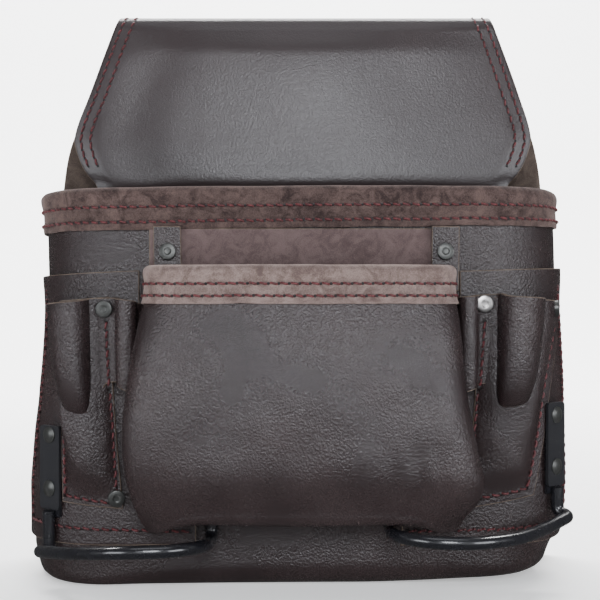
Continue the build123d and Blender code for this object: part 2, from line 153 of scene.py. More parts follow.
def wall(run, z, lift=0.0):
    """A point of the wall: run mm round it from the middle of the front, at height z."""
    side = -1 if run < 0 else 1
    narrow = 1 - through(TUCK[side], z) / HALF_LOW
    length = abs(run)
    radius = through(BASE_ROUND, run)
    below = min(radius, max(0.0, radius - z))
    curl = radius - math.sqrt(radius * radius - below * below)
    slack = ease(8, 40, z) * ease(MOUTH_Z, MOUTH_Z - 60, z)
    lift = lift - curl + 0.9 * slack * drift(run, z, 48, 1)
    flat = half_width(z, side) - CORNER
    reach = CORNER + lift
    if length < flat:
        return (side * length * narrow, FRONT_DEPTH + lift, z)
    if length < flat + CORNER * math.pi / 2:
        angle = (length - flat) / CORNER
        x = flat + reach * math.sin(angle)
        return (side * x * narrow, FRONT_DEPTH - CORNER + reach * math.cos(angle), z)
    past = length - flat - CORNER * math.pi / 2
    return (side * (flat + reach) * narrow, FRONT_DEPTH - CORNER - past, z)


print("the wall runs", round(2 * WALL_RUN), "mm round the pouch")

# %% [markdown]
# ## Cutting and laying leather
# A real panel is cut flat and then bent. Here the flat cut is Blender's grid, and laying it means
# giving each grid point its place on the form. Thickness comes afterwards from Solidify, which also
# gives the three faces of leather their own material: grain outside, flesh inside, raw cut edge.

# %% Cutting and laying
ROOT = "root"
WELD_DISTANCE = 0.00005
EDGE_ROUND = 0.45


def only(piece):
    """Selects one piece and makes it active, so that the next operator acts on it alone."""
    bpy.ops.object.select_all(action="DESELECT")
    piece.select_set(True)
    bpy.context.view_layer.objects.active = piece


def cut_panel(name, columns, rows, lay):
    """A flat grid laid by lay(u, v), which gives (x, depth, z) in mm for u and v from 0 to 1."""
    bpy.ops.object.select_all(action="DESELECT")
    bpy.ops.mesh.primitive_grid_add(x_subdivisions=columns, y_subdivisions=rows, size=1)
    piece = bpy.context.object
    piece.name = name
    piece.data.name = name
    for vertex in piece.data.vertices:
        u, v = vertex.co.x + 0.5, vertex.co.y + 0.5
        vertex.co = spot(*lay(u, v))
    return piece


def edit_whole(piece, operator, **settings):
    """Runs one edit mode operator on all of a piece's mesh."""
    only(piece)
    bpy.ops.object.mode_set(mode="EDIT")
    bpy.ops.mesh.select_all(action="SELECT")
    operator(**settings)
    bpy.ops.object.mode_set(mode="OBJECT")


def close_poles(piece):
    """Welds points that a lay brought together."""
    edit_whole(piece, bpy.ops.mesh.remove_doubles, threshold=WELD_DISTANCE)


def turn_over(piece):
    """Turns the faces round, for a panel laid with its grain side inwards."""
    edit_whole(piece, bpy.ops.mesh.flip_normals)


# %% Thickness and finish
def apply_all(piece):
    """Applies every modifier of a piece."""
    only(piece)
    for modifier in list(piece.modifiers):
        bpy.ops.object.modifier_apply(modifier=modifier.name)


def give_thickness(piece, thickness, materials, edge_round=EDGE_ROUND):
    """Thickens a panel inwards, rounds its cut edges and gives it grain, flesh and edge."""
    piece.data.materials.clear()
    for material in materials:
        piece.data.materials.append(material)
    wall_modifier = piece.modifiers.new("thickness", "SOLIDIFY")
    wall_modifier.thickness = thickness * MM
    wall_modifier.offset = -1
    wall_modifier.use_even_offset = False
    wall_modifier.material_offset = 1
    wall_modifier.material_offset_rim = 2
    bevel = piece.modifiers.new("edge", "BEVEL")
    bevel.width = edge_round * MM
    bevel.segments = 2
    bevel.limit_method = "ANGLE"
    bevel.angle_limit = math.radians(60)
    bevel.material = 2
    bevel.use_clamp_overlap = False
    apply_all(piece)
    only(piece)
    bpy.ops.object.shade_smooth_by_angle(angle=math.radians(50))
    return piece


def hang(piece, slot, *nodes):
    """Declares what a finished piece rides on and stands for; its slot argument is not used."""
    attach(piece, ROOT)
    if nodes:
        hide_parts(*nodes)
    print(piece.name, len(piece.data.polygons), "faces")
    return piece


print("leather", LEATHER, "mm, pocket leather", POCKET_LEATHER, "mm, suede", SUEDE, "mm")

# %% [markdown]
# ## The grain of oiled leather
# Full grain leather has three scales at once: pores, pebbles of about a millimetre, and a slow mottle
# where oil has soaked in unevenly. They could be painted, but a pattern in the object's own
# coordinates keeps its real scale on every piece. One node group holds all three, and each leather
# sets how strong its pebble is.

# %% Helpers for shader nodes


def new_group(name, inputs, outputs):
    """An empty shader group with float or colour sockets."""
    group = bpy.data.node_groups.new(name, "ShaderNodeTree")
    for socket, kind, default in inputs:
        made = group.interface.new_socket(name=socket, in_out="INPUT", socket_type=kind)
        made.default_value = default
    for socket, kind in outputs:
        group.interface.new_socket(name=socket, in_out="OUTPUT", socket_type=kind)
    return group


class Bench:
    """Short hand for placing and joining nodes in one tree."""

    def __init__(self, tree):
        self.tree = tree

    def node(self, kind, **settings):
        made = self.tree.nodes.new(kind)
        for key, value in settings.items():
            setattr(made, key, value)
        return made

    def join(self, source, target):
        self.tree.links.new(source, target)

    def feed(self, target, value):
        if hasattr(value, "is_output"):
            self.join(value, target)
        else:
            target.default_value = value

    def math(self, operation, a, b=0.0, clamp=False):
        made = self.node("ShaderNodeMath", operation=operation, use_clamp=clamp)
        self.feed(made.inputs[0], a)
        self.feed(made.inputs[1], b)
        return made.outputs[0]

    def noise(self, vector, scale, detail=4.0, rough=0.55, distort=0.0):
        made = self.node("ShaderNodeTexNoise")
        self.join(vector, made.inputs["Vector"])
        self.feed(made.inputs["Scale"], scale)
        made.inputs["Detail"].default_value = detail
        made.inputs["Roughness"].default_value = rough
        made.inputs["Distortion"].default_value = distort
        return made.outputs["Fac"]

    def cells(self, vector, scale, feature="F1", randomness=1.0):
        made = self.node("ShaderNodeTexVoronoi", feature=feature)
        self.join(vector, made.inputs["Vector"])
        self.feed(made.inputs["Scale"], scale)
        made.inputs["Randomness"].default_value = randomness
        return made.outputs["Distance"]

    def spread(self, value, low, high, to_low=0.0, to_high=1.0):
        made = self.node("ShaderNodeMapRange", interpolation_type="SMOOTHSTEP")
        self.feed(made.inputs["Value"], value)
        self.feed(made.inputs["From Min"], low)
        made.inputs["From Max"].default_value = high
        made.inputs["To Min"].default_value = to_low
        made.inputs["To Max"].default_value = to_high
        return made.outputs["Result"]

    def blend(self, factor, a, b, mode="MIX"):
        made = self.node("ShaderNodeMix", data_type="RGBA", blend_type=mode)
        self.feed(made.inputs["Factor"], factor)
        self.feed(made.inputs["A"], a)
        self.feed(made.inputs["B"], b)
        return made.outputs["Result"]

    def emboss(self, principled, height, strength, distance):
        made = self.node("ShaderNodeBump")
        made.inputs["Strength"].default_value = strength
        made.inputs["Distance"].default_value = distance
        self.join(height, made.inputs["Height"])
        self.join(made.outputs["Normal"], principled.inputs["Normal"])


# %% Grain group
def make_grain_group():
    """Height and mottle of oiled full grain leather."""
    group = new_group(
        "oiled_grain",
        [("Pebble", "NodeSocketFloat", 1.0)],
        [("Height", "NodeSocketFloat"), ("Mottle", "NodeSocketFloat")],
    )
    bench = Bench(group)
    given = bench.node("NodeGroupInput")
    put_out = bench.node("NodeGroupOutput")
    place = bench.node("ShaderNodeTexCoord").outputs["Object"]
    stirred = bench.node("ShaderNodeVectorMath", operation="MULTIPLY_ADD")
    warp = bench.node("ShaderNodeTexNoise")
    bench.join(place, warp.inputs["Vector"])
    warp.inputs["Scale"].default_value = 260.0
    bench.join(warp.outputs["Color"], stirred.inputs[0])
    stirred.inputs[1].default_value = (0.0012, 0.0012, 0.0012)
    bench.join(place, stirred.inputs[2])
    bent = stirred.outputs["Vector"]
    pebble = bench.cells(bent, 950.0, "SMOOTH_F1")
    pebble = bench.spread(pebble, 0.15, 0.75)
    tight = bench.spread(bench.noise(place, 16.0, 1.0), 0.25, 0.75, 0.7, 1.0)
    pebble = bench.math("MULTIPLY", pebble, tight)
    pores = bench.noise(place, 2600.0, 2.0)
    pores = bench.spread(pores, 0.35, 0.6)
    small = bench.math("MULTIPLY", pebble, given.outputs["Pebble"])
    height = bench.math("ADD", bench.math("MULTIPLY", pores, 0.25), bench.math("MULTIPLY", small, -0.8))
    mottle = bench.spread(bench.noise(place, 24.0, 1.5), 0.2, 0.8)
    bench.join(height, put_out.inputs["Height"])
    bench.join(mottle, put_out.inputs["Mottle"])
    return group


GRAIN = make_grain_group()
print("grain group with", len(GRAIN.nodes), "nodes")

# %% [markdown]
# ## The leathers
# Oiled leather is nearly black-brown by itself. What makes it look soft is a broad, milky gloss, so
# the colour stays dark and the roughness carries the story: glossier where it has been rubbed,
# duller where it is creased.

# %% Oiled grain side
def shader(name):
    """A material with a bench for its nodes and its Principled shader."""
    material = bpy.data.materials.new(name)
    material.use_nodes = True
    principled = material.node_tree.nodes["Principled BSDF"]
    return material, Bench(material.node_tree), principled


def make_grain_leather(name, dark, light, pebble, rough, relief):
    """Grain side of the leather: the hollows of the grain are painted darker as shade, and are duller than
    its crowns.
    """
    material, bench, principled = shader(name)
    grain = bench.node("ShaderNodeGroup", node_tree=GRAIN)
    grain.inputs["Pebble"].default_value = pebble
    height = grain.outputs["Height"]
    colour = bench.blend(grain.outputs["Mottle"], (*dark, 1), (*light, 1))
    # painted shade: the grain's hollows are darkened towards 0.4 of the dark colour
    hollow_shade = bench.math("MULTIPLY", height, -0.25, clamp=True)
    colour = bench.blend(hollow_shade, colour, (*[c * 0.4 for c in dark], 1))
    bench.join(colour, principled.inputs["Base Color"])
    gloss = bench.spread(grain.outputs["Mottle"], 0.0, 1.0, rough[0], rough[1])
    gloss = bench.math("SUBTRACT", gloss, bench.math("MULTIPLY", height, 0.045), clamp=True)
    bench.join(gloss, principled.inputs["Roughness"])
    bench.emboss(principled, height, relief, 0.0006)
    principled.inputs["Specular IOR Level"].default_value = 0.5
    return material


grain_front = make_grain_leather(
    "oiled_leather", (0.0148, 0.0098, 0.0101), (0.0250, 0.0168, 0.0170),
    pebble=1.0, rough=(0.235, 0.265), relief=0.42,
)
grain_flap = make_grain_leather(
    "oiled_leather_flap", (0.0185, 0.0128, 0.0131), (0.0225, 0.0158, 0.0161),
    pebble=0.6, rough=(0.285, 0.305), relief=0.22,
)
print("grain sides:", grain_front.name, grain_flap.name)

# %% [markdown]
# ## Suede, flesh side and cut edges
# Suede is the flesh side, sanded to a short nap. Brushing leaves it lighter and darker in patches, and
# its fibres catch light at a grazing angle, which is what the shader's sheen is for. The back of every
# leather and its raw cut edge are the same stuff in other colours, so they share one node group.


# %% Nap group
def make_nap_group():
    """Tone of brushed patches and height of single fibres."""
    group = new_group(
        "brushed_nap",
        [("Fibre Scale", "NodeSocketFloat", 1500.0)],
        [("Tone", "NodeSocketFloat"), ("Fibres", "NodeSocketFloat")],
    )
    bench = Bench(group)
    given = bench.node("NodeGroupInput")
    put_out = bench.node("NodeGroupOutput")
    place = bench.node("ShaderNodeTexCoord").outputs["Object"]
    patches = bench.noise(place, 120.0, 6.0, 0.68, 1.2)
    brushed = bench.noise(place, 38.0, 3.0, 0.6, 0.8)
    fibres = bench.noise(place, given.outputs["Fibre Scale"], 4.0, 0.7)
    tone = bench.math("ADD", bench.math("MULTIPLY", patches, 0.45), bench.math("MULTIPLY", fibres, 0.3))
    tone = bench.math("ADD", tone, bench.math("MULTIPLY", brushed, 0.25))
    bench.join(bench.spread(tone, 0.38, 0.62), put_out.inputs["Tone"])
    bench.join(fibres, put_out.inputs["Fibres"])
    return group


NAP = make_nap_group()
print("nap group with", len(NAP.nodes), "nodes")


# %% Suede and flesh materials
def make_flesh(name, dark, light, sheen):
    """Suede, flesh side or cut edge, between a dark and a light colour."""
    material, bench, principled = shader(name)
    nap = bench.node("ShaderNodeGroup", node_tree=NAP)
    bench.join(bench.blend(nap.outputs["Tone"], (*dark, 1), (*light, 1)), principled.inputs["Base Color"])
    principled.inputs["Roughness"].default_value = 0.95
    principled.inputs["Specular IOR Level"].default_value = 0.15
    principled.inputs["Sheen Weight"].default_value = sheen
    principled.inputs["Sheen Roughness"].default_value = 0.45
    principled.inputs["Sheen Tint"].default_value = (0.75, 0.6, 0.55, 1)
    bench.emboss(principled, nap.outputs["Fibres"], 0.5, 0.0005)
    return material


flesh = make_flesh("flesh_side", (0.034, 0.025, 0.021), (0.078, 0.060, 0.050), sheen=0.25)
raw_edge = make_flesh("raw_edge", (0.062, 0.045, 0.035), (0.135, 0.105, 0.082), sheen=0.0)
mouth_suede = make_flesh("mouth_suede", (0.019, 0.0122, 0.0116), (0.080, 0.054, 0.048), sheen=0.08)
backing_suede = make_flesh("backing_nap", (0.058, 0.039, 0.038), (0.108, 0.076, 0.073), sheen=0.25)
pocket_suede = make_flesh("pocket_rim_suede", (0.070, 0.048, 0.043), (0.170, 0.128, 0.115), sheen=0.25)
LEATHER_SKINS = [grain_front, flesh, raw_edge]
FLAP_SKINS = [grain_flap, flesh, raw_edge]
MOUTH_SKINS = [mouth_suede] * 3
POCKET_RIM_SKINS = [pocket_suede] * 3
BACKING_SKINS = [backing_suede, backing_suede, raw_edge]
print(len(bpy.data.materials), "materials so far")

# %% [markdown]
# ## Steel
# The loops are dipped in gloss black, the cover plates are dark plated strip with a few scuffs, and
# the rivets are the same plating worn through on their crowns.

# %% Wear group
def make_wear_group():
    """Scuffs and slow cloudiness of plated or dipped steel."""
    group = new_group(
        "plating_wear",
        [("Wear", "NodeSocketFloat", 0.2)],
        [("Scuff", "NodeSocketFloat"), ("Cloud", "NodeSocketFloat")],
    )
    bench = Bench(group)
    given = bench.node("NodeGroupInput")
    put_out = bench.node("NodeGroupOutput")
    place = bench.node("ShaderNodeTexCoord").outputs["Object"]
    threshold = bench.math("SUBTRACT", 0.66, bench.math("MULTIPLY", given.outputs["Wear"], 0.25))
    scuff = bench.spread(bench.noise(place, 420.0, 6.0, 0.7, 1.2), threshold, 0.74)
    bench.join(scuff, put_out.inputs["Scuff"])
    bench.join(bench.noise(place, 120.0, 4.0), put_out.inputs["Cloud"])
    return group


WEAR = make_wear_group()
print("wear group with", len(WEAR.nodes), "nodes")


# %% Steel materials
def make_steel(name, colour, worn, rough, wear, metallic=1.0, coat=0.0):
    """Plated or coated steel with scuffed spots."""
    material, bench, principled = shader(name)
    age = bench.node("ShaderNodeGroup", node_tree=WEAR)
    age.inputs["Wear"].default_value = wear
    scuff, cloud = age.outputs["Scuff"], age.outputs["Cloud"]
    bench.join(bench.blend(scuff, (*colour, 1), (*worn, 1)), principled.inputs["Base Color"])
    gloss = bench.math("ADD", bench.math("MULTIPLY", cloud, 0.22), rough - 0.1)
    gloss = bench.math("ADD", gloss, bench.math("MULTIPLY", scuff, 0.2), clamp=True)
    bench.join(gloss, principled.inputs["Roughness"])
    principled.inputs["Metallic"].default_value = metallic
    principled.inputs["Coat Weight"].default_value = coat
    principled.inputs["Coat Roughness"].default_value = 0.12
    bench.emboss(principled, cloud, 0.08, 0.0003)
    return material


black_coat = make_steel(
    "black_dip", (0.007, 0.007, 0.009), (0.014, 0.014, 0.016), rough=0.26, wear=0.1, metallic=0.0, coat=0.4
)
plate_steel = make_steel(
    "plated_strip", (0.020, 0.020, 0.023), (0.09, 0.085, 0.08), rough=0.42, wear=0.15, metallic=0.4
)
dark_rivet = make_steel(
    "dark_rivet", (0.055, 0.056, 0.053), (0.20, 0.19, 0.175), rough=0.36, wear=0.4, metallic=0.7
)
bright_rivet = make_steel("bright_rivet", (0.40, 0.385, 0.375), (0.55, 0.53, 0.51), rough=0.28, wear=0.4)
print("steels:", black_coat.name, plate_steel.name, dark_rivet.name, bright_rivet.name)

# %% [markdown]
# ## Thread
# The seams are sewn with a waxed red thread. Where it dives through the leather, the needle has left a
# small hole; the shade in it is painted as a dark cone, which shows more than the thread does. Both get the
# same fine twist.


# %% Thread materials
def make_twist_group():
    """Tone and height of a twisted thread."""
    group = new_group(
        "thread_twist",
        [("Twist Scale", "NodeSocketFloat", 2200.0)],
        [("Tone", "NodeSocketFloat"), ("Twist", "NodeSocketFloat")],
    )
    bench = Bench(group)
    given = bench.node("NodeGroupInput")
    put_out = bench.node("NodeGroupOutput")
    place = bench.node("ShaderNodeTexCoord").outputs["Object"]
    bench.join(bench.spread(bench.noise(place, 900.0, 3.0), 0.35, 0.65), put_out.inputs["Tone"])
    bench.join(bench.noise(place, given.outputs["Twist Scale"], 2.0), put_out.inputs["Twist"])
    return group


TWIST = make_twist_group()


def make_thread(name, dark, light):
    """Waxed thread, or the painted shade of the hole that it dives into."""
    material, bench, principled = shader(name)
    twist = bench.node("ShaderNodeGroup", node_tree=TWIST)
    bench.join(bench.blend(twist.outputs["Tone"], (*dark, 1), (*light, 1)), principled.inputs["Base Color"])
    principled.inputs["Roughness"].default_value = 0.55
    bench.emboss(principled, twist.outputs["Twist"], 0.6, 0.0002)
    return material


red_thread = make_thread("waxed_thread", (0.040, 0.0055, 0.0070), (0.105, 0.016, 0.019))
# painted shade: a near-black material for the cones that stand for the shade inside the needle holes
needle_hole_shade = make_thread("needle_hole_shade", (0.004, 0.002, 0.002), (0.008, 0.004, 0.004))
print("threads:", red_thread.name, needle_hole_shade.name)

# %% [markdown]
# ## Seams
# A lock stitch lies on the surface for most of its length and dives into a needle hole at each
# end, where the shade in the hole is painted as a small dark cone. Each stitch is a short curve of its own,
# given round thread thickness, and a seam is all its stitches as one piece. The trace of a seam is a
# function, so the seam follows the leather exactly.

# %% Sewing tools
STITCH = 5.0
THREAD_RADIUS = 0.58
HOLE_RADIUS = 1.2
HOLE_CORNERS = 8
HOLE_CROWN = 0.32
HOLE_FOOT = 0.12
STITCH_SLANT = 0.22
STITCH_SHAPE = [(0.16, -0.7), (0.25, 0.3), (0.40, 0.7), (0.60, 0.7), (0.75, 0.3), (0.84, -0.7)]
STITCH_RISE = 1.5 * THREAD_RADIUS
seam_curves = []
hole_places = []


def trace_seam(surface, start, end, steps=240):
    """Points and outward directions along a straight line in a surface's own two directions."""
    found = []
    for i in range(steps + 1):
        t = i / steps
        a, b = mix(start[0], end[0], t), mix(start[1], end[1], t)
        here = spot(*surface(a, b))
        across = spot(*surface(a + 0.4, b)) - spot(*surface(a - 0.4, b))
        up = spot(*surface(a, b + 0.4)) - spot(*surface(a, b - 0.4))
        out = across.cross(up)
        found.append((here, out.normalized() if out.length > 1e-12 else Vector((0, -1, 0))))
    return found


def sew(trace, flip=False):
    """Adds the stitches along a trace to the seams that are being collected."""
    lengths = [0.0]
    for (a, _), (b, _) in zip(trace, trace[1:]):
        lengths.append(lengths[-1] + (b - a).length)
    total = lengths[-1]
    count = max(2, round(total / (STITCH * MM)))
    stops = []
    k = 0
    for i in range(count + 1):
        at = total * i / count
        while k < len(trace) - 2 and lengths[k + 1] < at:
            k += 1
        span = max(1e-9, lengths[k + 1] - lengths[k])
        t = min(1.0, max(0.0, (at - lengths[k]) / span))
        place = trace[k][0].lerp(trace[k + 1][0], t)
        out = trace[k][1].lerp(trace[k + 1][1], t).normalized()
        stops.append((place, -out if flip else out))
    for (a, na), (b, nb) in zip(stops, stops[1:]):
        run = b - a
        side = run.cross(na).normalized() * (run.length * STITCH_SLANT)
        points = []
        for t, rise in STITCH_SHAPE:
            out = na.lerp(nb, t)
            points.append(a + run * t + side * (t - 0.5) + out * (rise * STITCH_RISE * MM))
        seam_curves.append(points)
    hole_places.extend(stops)


# %% Stitches and needle holes
def add_object(name, data):
    """Puts new data into the scene as an object."""
    made = bpy.data.objects.new(name, data)
    bpy.context.scene.collection.objects.link(made)
    return made


def lay_thread(name):
    """Turns the collected stitches into one piece of round thread."""
    curve = bpy.data.curves.new(name, "CURVE")
    curve.dimensions = "3D"
    curve.bevel_depth = THREAD_RADIUS * MM
    curve.bevel_resolution = 1
    curve.use_fill_caps = True
    for points in seam_curves:
        spline = curve.splines.new("POLY")
        spline.points.add(len(points) - 1)
        for target, point in zip(spline.points, points):
            target.co = (*point, 1)
    only(add_object(name, curve))
    bpy.ops.object.convert(target="MESH")
    thread = bpy.context.object
    thread.data.materials.clear()
    thread.data.materials.append(red_thread)
    bpy.ops.object.shade_smooth()
    return thread


def punch_holes(name):
    """Turns the collected needle holes into one piece of small dark cones, the painted shade of the holes.
    """
    vertices, faces = [], []
    for place, out in hole_places:
        side = out.orthogonal().normalized()
        other = out.cross(side)
        first = len(vertices)
        vertices.append(place + out * (HOLE_CROWN * MM))
        for k in range(HOLE_CORNERS):
            turn = 2 * math.pi * k / HOLE_CORNERS
            spoke = (side * math.cos(turn) + other * math.sin(turn)) * (HOLE_RADIUS * MM)
            vertices.append(place + spoke - out * (HOLE_FOOT * MM))
        for k in range(HOLE_CORNERS):
            faces.append((first, first + 1 + k, first + 1 + (k + 1) % HOLE_CORNERS))
        faces.append(tuple(first + 1 + k for k in reversed(range(HOLE_CORNERS))))
    mesh = bpy.data.meshes.new(name)
    mesh.from_pydata(vertices, [], faces)
    mesh.materials.append(needle_hole_shade)
    return add_object(name, mesh)


def sew_down(name):
    """Finishes a group of seams and lets it ride on the pouch."""
    for piece in (lay_thread(name), punch_holes(name + "_holes")):
        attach(piece, ROOT)
    print(name, len(seam_curves), "stitches")
    seam_curves.clear()
    hole_places.clear()


print("a stitch every", STITCH, "mm")

# %% [markdown]
# ## Main pouch
# Front, sides and bottom are one soft shell. It is laid like a bowl: rows of the grid start in the
# middle of the bottom, run out to the rounded lower edge, and then climb the wall to the mouth.

# %% Main pouch
FLOOR_SHARE = 0.16
FLOOR_RISE = [(-200, 0), (30, 0), (70, 1.2), (110, 3.4), (150, 3.6), (200, 2)]


def pouch_shell(u, v):
    """The main pouch from the middle of its bottom (v 0) up to the mouth (v 1)."""
    run = mix(-WALL_RUN, WALL_RUN, u)
    if v < FLOOR_SHARE:
        x, depth, _ = wall(run, 0.0)
        share = v / FLOOR_SHARE
        return (x * share, mix(LEATHER, depth, share), 0.25 + share * through(FLOOR_RISE, run))
    climb = (v - FLOOR_SHARE) / (1 - FLOOR_SHARE)
    z = (MOUTH_Z - 1) * (0.35 * climb + 0.65 * climb**1.25)
    x, depth, _ = wall(run, z)
    return (x, depth, z + through(FLOOR_RISE, run) * max(0.0, 1 - z / 30))


front_panel = cut_panel("main_pouch", 200, 90, pouch_shell)
close_poles(front_panel)
give_thickness(front_panel, LEATHER, LEATHER_SKINS)
hang(front_panel, "body_leather", "front_panel")

# %% [markdown]
# ## Back panel and belt tunnel
# One long hide makes the back and, folded forward over the top, the tunnel for the belt. Its width
# changes along its length, so each row of the grid is given the width of the cut at that point. Two
# rows of stitches close each slanted edge of the tunnel, and one row runs round the rear.

# %% Back panel and belt tunnel
FOLD = 7.5
FOLD_Z = TOP_Z - FOLD
REAR_WIDTHS = [
    (0, 137), (6, 142.5), (20, 144), (100, 144), (205, 138), (235, 133.5), (262, 122.6),
    (290, 112.4), (308, 105),
]
FRONT_WIDTHS = [
    (186, 112), (200, 112), (211, 115.5), (218, 121.5), (228, 126.5), (239, 128.5), (262, 121),
    (290, 111.5), (308, 105),
]
FRONT_DEPTHS = [
    (186, 4.8), (193, 6.5), (198, 13.0), (203, 19.6), (208, 22.8), (214, 23.8), (224, 22.9),
    (240, 21.2), (258, 19.4), (276, 17.6), (292, 15.8), (300.5, 15.0),
]
REAR_LENGTH = FOLD_Z
FOLD_LENGTH = math.pi * FOLD
FRONT_LENGTH = FOLD_Z - 186
HIDE_LENGTH = REAR_LENGTH + FOLD_LENGTH + FRONT_LENGTH


def skew(z):
    """How far the hide was hung off centre: its upper part stands a little to the right."""
    return 1.3 * ease(186, 215, z) + 1.3 * ease(225, 275, z)


def hide(across, along):
    """The long hide: across from -1 to 1, along in mm from its lower rear edge."""
    if along <= REAR_LENGTH:
        z, depth = along, 0.0
        half = through(REAR_WIDTHS, z)
        return (across * half + skew(z), depth, z)
    if along <= REAR_LENGTH + FOLD_LENGTH:
        turn = (along - REAR_LENGTH) / FOLD
        z = FOLD_Z + FOLD * math.sin(turn)
        half = mix(through(REAR_WIDTHS, z), through(FRONT_WIDTHS, z), turn / math.pi)
        return (across * half + skew(z), FOLD - FOLD * math.cos(turn), z)
    z = FOLD_Z - (along - REAR_LENGTH - FOLD_LENGTH)
    half = through(FRONT_WIDTHS, z)
    crown = 5.0 * (1 - across * across) * ease(194, 215, z) * ease(308, 285, z)
    dip = 1.1 * math.exp(-(((across + 0.74) / 0.13) ** 2)) * ease(205, 225, z) * ease(300, 270, z)
    soft = 1.4 * drift(across * half, z, 60, 3) * ease(205, 235, z) - dip
    curl = 3.0 * max(0.0, abs(across) - 0.9) / 0.1 * ease(262, 228, z) * ease(206, 214, z)
    return (across * half + skew(z), through(FRONT_DEPTHS, z) + crown + soft - curl, z)


back_panel = cut_panel("back_panel_and_tunnel", 110, 230, lambda u, v: hide(1 - 2 * u, v * HIDE_LENGTH))
give_thickness(back_panel, LEATHER, FLAP_SKINS)
hang(back_panel, "top_leather", "back_panel")

# %% Tunnel and rear seams
TUNNEL_INSETS = (4.0, 9.6)
TUNNEL_START = REAR_LENGTH - 60
TUNNEL_END = REAR_LENGTH + FOLD_LENGTH + FOLD_Z - 222
REAR_INSET = 5.0


def hide_edge(side, inset):
    """The line along one side edge of the hide, inset mm from it."""
    def surface(t, along):
        x, _, z = hide(side, along)
        half = abs(x - skew(z))
        return hide(side * (half - inset - t) / half, along)
    return surface


def rear_foot(x, along):
    """The rear of the hide by x and height, for the row along its foot."""
    return hide(x / through(REAR_WIDTHS, along), along)


for side in (-1, 1):
    for inset in TUNNEL_INSETS:
        sew(trace_seam(hide_edge(side, inset), (0, TUNNEL_START), (0, TUNNEL_END)), flip=side < 0)
sew_down("tunnel_seams")
for side in (-1, 1):
    sew(trace_seam(hide_edge(side, REAR_INSET), (0, 12), (0, 196)), flip=side < 0)
sew(trace_seam(rear_foot, (-136, 6.5), (136, 6.5)), flip=True)
sew_down("rear_seams")

# %% [markdown]
# ## Mouth binding
# A suede strip is folded over the rim and sewn through with two rows. Its section is a fat, rounded
# hook, carried round the wall. The strip was sewn on by hand, so its edges wander a little.

# %% Mouth binding
BAND_TOP_SAG = [(-200, -1.6), (-110, -0.8), (0, 0.3), (110, 0.2), (200, -0.6)]
BAND_LOW_SAG = [(-200, -1.8), (-110, -0.9), (0, 0.4), (110, 1.6), (200, 2.2)]
BAND_LOW_Z = 183.5
BAND_TOP_Z = 205.4
BAND_ROLL = 3.9
FACE_END = 0.42
ROLL_END = 0.75


def mouth_section(run, share):
    """Hook-shaped section: share 0 is the lower outside edge, 1 the lower inside edge."""
    low = BAND_LOW_Z + through(BAND_LOW_SAG, run) + 0.5 * drift(run, 0, 16, 5)
    top = BAND_TOP_Z + through(BAND_TOP_SAG, run) + 0.4 * drift(run, 0, 30, 6)
    inner = -LEATHER - SUEDE
    middle = (SUEDE + 0.5 + inner) / 2
    shoulder = top - BAND_ROLL
    if share < FACE_END:
        z = mix(low, shoulder, share / FACE_END)
        lip = 0.35 * math.sin(math.pi * min(1, share / 0.13)) * (share < 0.13)
        puff = 1.0 * ease(0.24, FACE_END, share) + lip
        return z, SUEDE + 0.25 + puff + 0.3 * drift(run, z, 9, 8)
    if share < ROLL_END:
        turn = math.pi * (share - FACE_END) / (ROLL_END - FACE_END)
        lift = middle + (SUEDE + 1.25 - middle) * math.cos(turn)
        return shoulder + BAND_ROLL * math.sin(turn), lift + 0.3 * drift(run, turn * 4, 9, 8)
    return mix(shoulder, low, (share - ROLL_END) / (1 - ROLL_END)), inner - 0.3


def mouth_band(run, share):
    """The binding as a surface over the wall."""
    z, lift = mouth_section(run, share)
    return wall(run, z, lift)


binding = cut_panel(
    "mouth_binding_suede", 220, 30, lambda u, v: mouth_band(mix(-WALL_RUN - 1, WALL_RUN + 1, u), v)
)
give_thickness(binding, SUEDE - 0.2, MOUTH_SKINS, edge_round=0.4)
hang(binding, "binding_suede", "mouth_binding")


def mouth_row(rise):
    """A seam row, rise of the way up the outside of the binding."""
    return lambda run, share: mouth_band(run, rise + share * 0.001)


for rise in (0.095, 0.275):
    sew(trace_seam(mouth_row(rise), (-WALL_RUN + 3, 0), (WALL_RUN - 3, 0), steps=900))
sew_down("mouth_seams")

# %% [markdown]
# ## Side pockets
# A patch wraps each corner of the pouch. Its top edge is left open, and its outer, lower and inner
# edges are sewn down.

# %% Side pockets
SIDE_TOPS = {
    -1: [(53, 162.5), (85, 162), (120, 160.5), (170, 159)],
    1: [(53, 162), (85, 162), (120, 163.2), (170, 164.5)],
}
SIDE_LOW = 22.0
TOE_RUN = 53.0
INNER_RUN = 82.0
OUTER_RUN = 99 + CORNER * math.pi / 2 + 5


def side_patch(side):
    """Laying rule of one side pocket."""
    def lay(u, v):
        guess = mix(SIDE_LOW, 161, v)
        inner = mix(TOE_RUN, INNER_RUN, ease(33, 39, guess))
        run = mix(inner, OUTER_RUN, u)
        top = through(SIDE_TOPS[side], run)
        low = SIDE_LOW + 0.5 * drift(run, side, 25, 9)
        z = mix(low, top, v)
        gape = 0.9 * ease(140, 160, z) * ease(96, 120, run)
        return wall(side * run, z, POCKET_LEATHER + 0.15 + gape)
    return lay


for side, name in ((-1, "left"), (1, "right")):
    patch = cut_panel(f"side_pocket_leather_{name}", 90, 90, side_patch(side))
    if side < 0:
        turn_over(patch)
    give_thickness(patch, POCKET_LEATHER, LEATHER_SKINS)
    hang(patch, "body_leather", f"side_pocket_{name}")

# %% [markdown]
# ## Paths for the pieces that stand off the wall
# A pocket or a tube is easiest to draw from above, as the line its leather follows at one height.
# That line is made of straight runs and arcs, softened the way leather softens a corner, and divided
# evenly so that the grid keeps square cells.

# %% Paths seen from above
def soften(points, rounds):
    """Rounds the corners of an open path and holds its ends."""
    for _ in range(rounds):
        inner = [
            tuple((a + 2 * b + c) / 4 for a, b, c in zip(p, q, r))
            for p, q, r in zip(points, points[1:], points[2:])
        ]
        points = [points[0], *inner, points[-1]]
    return points


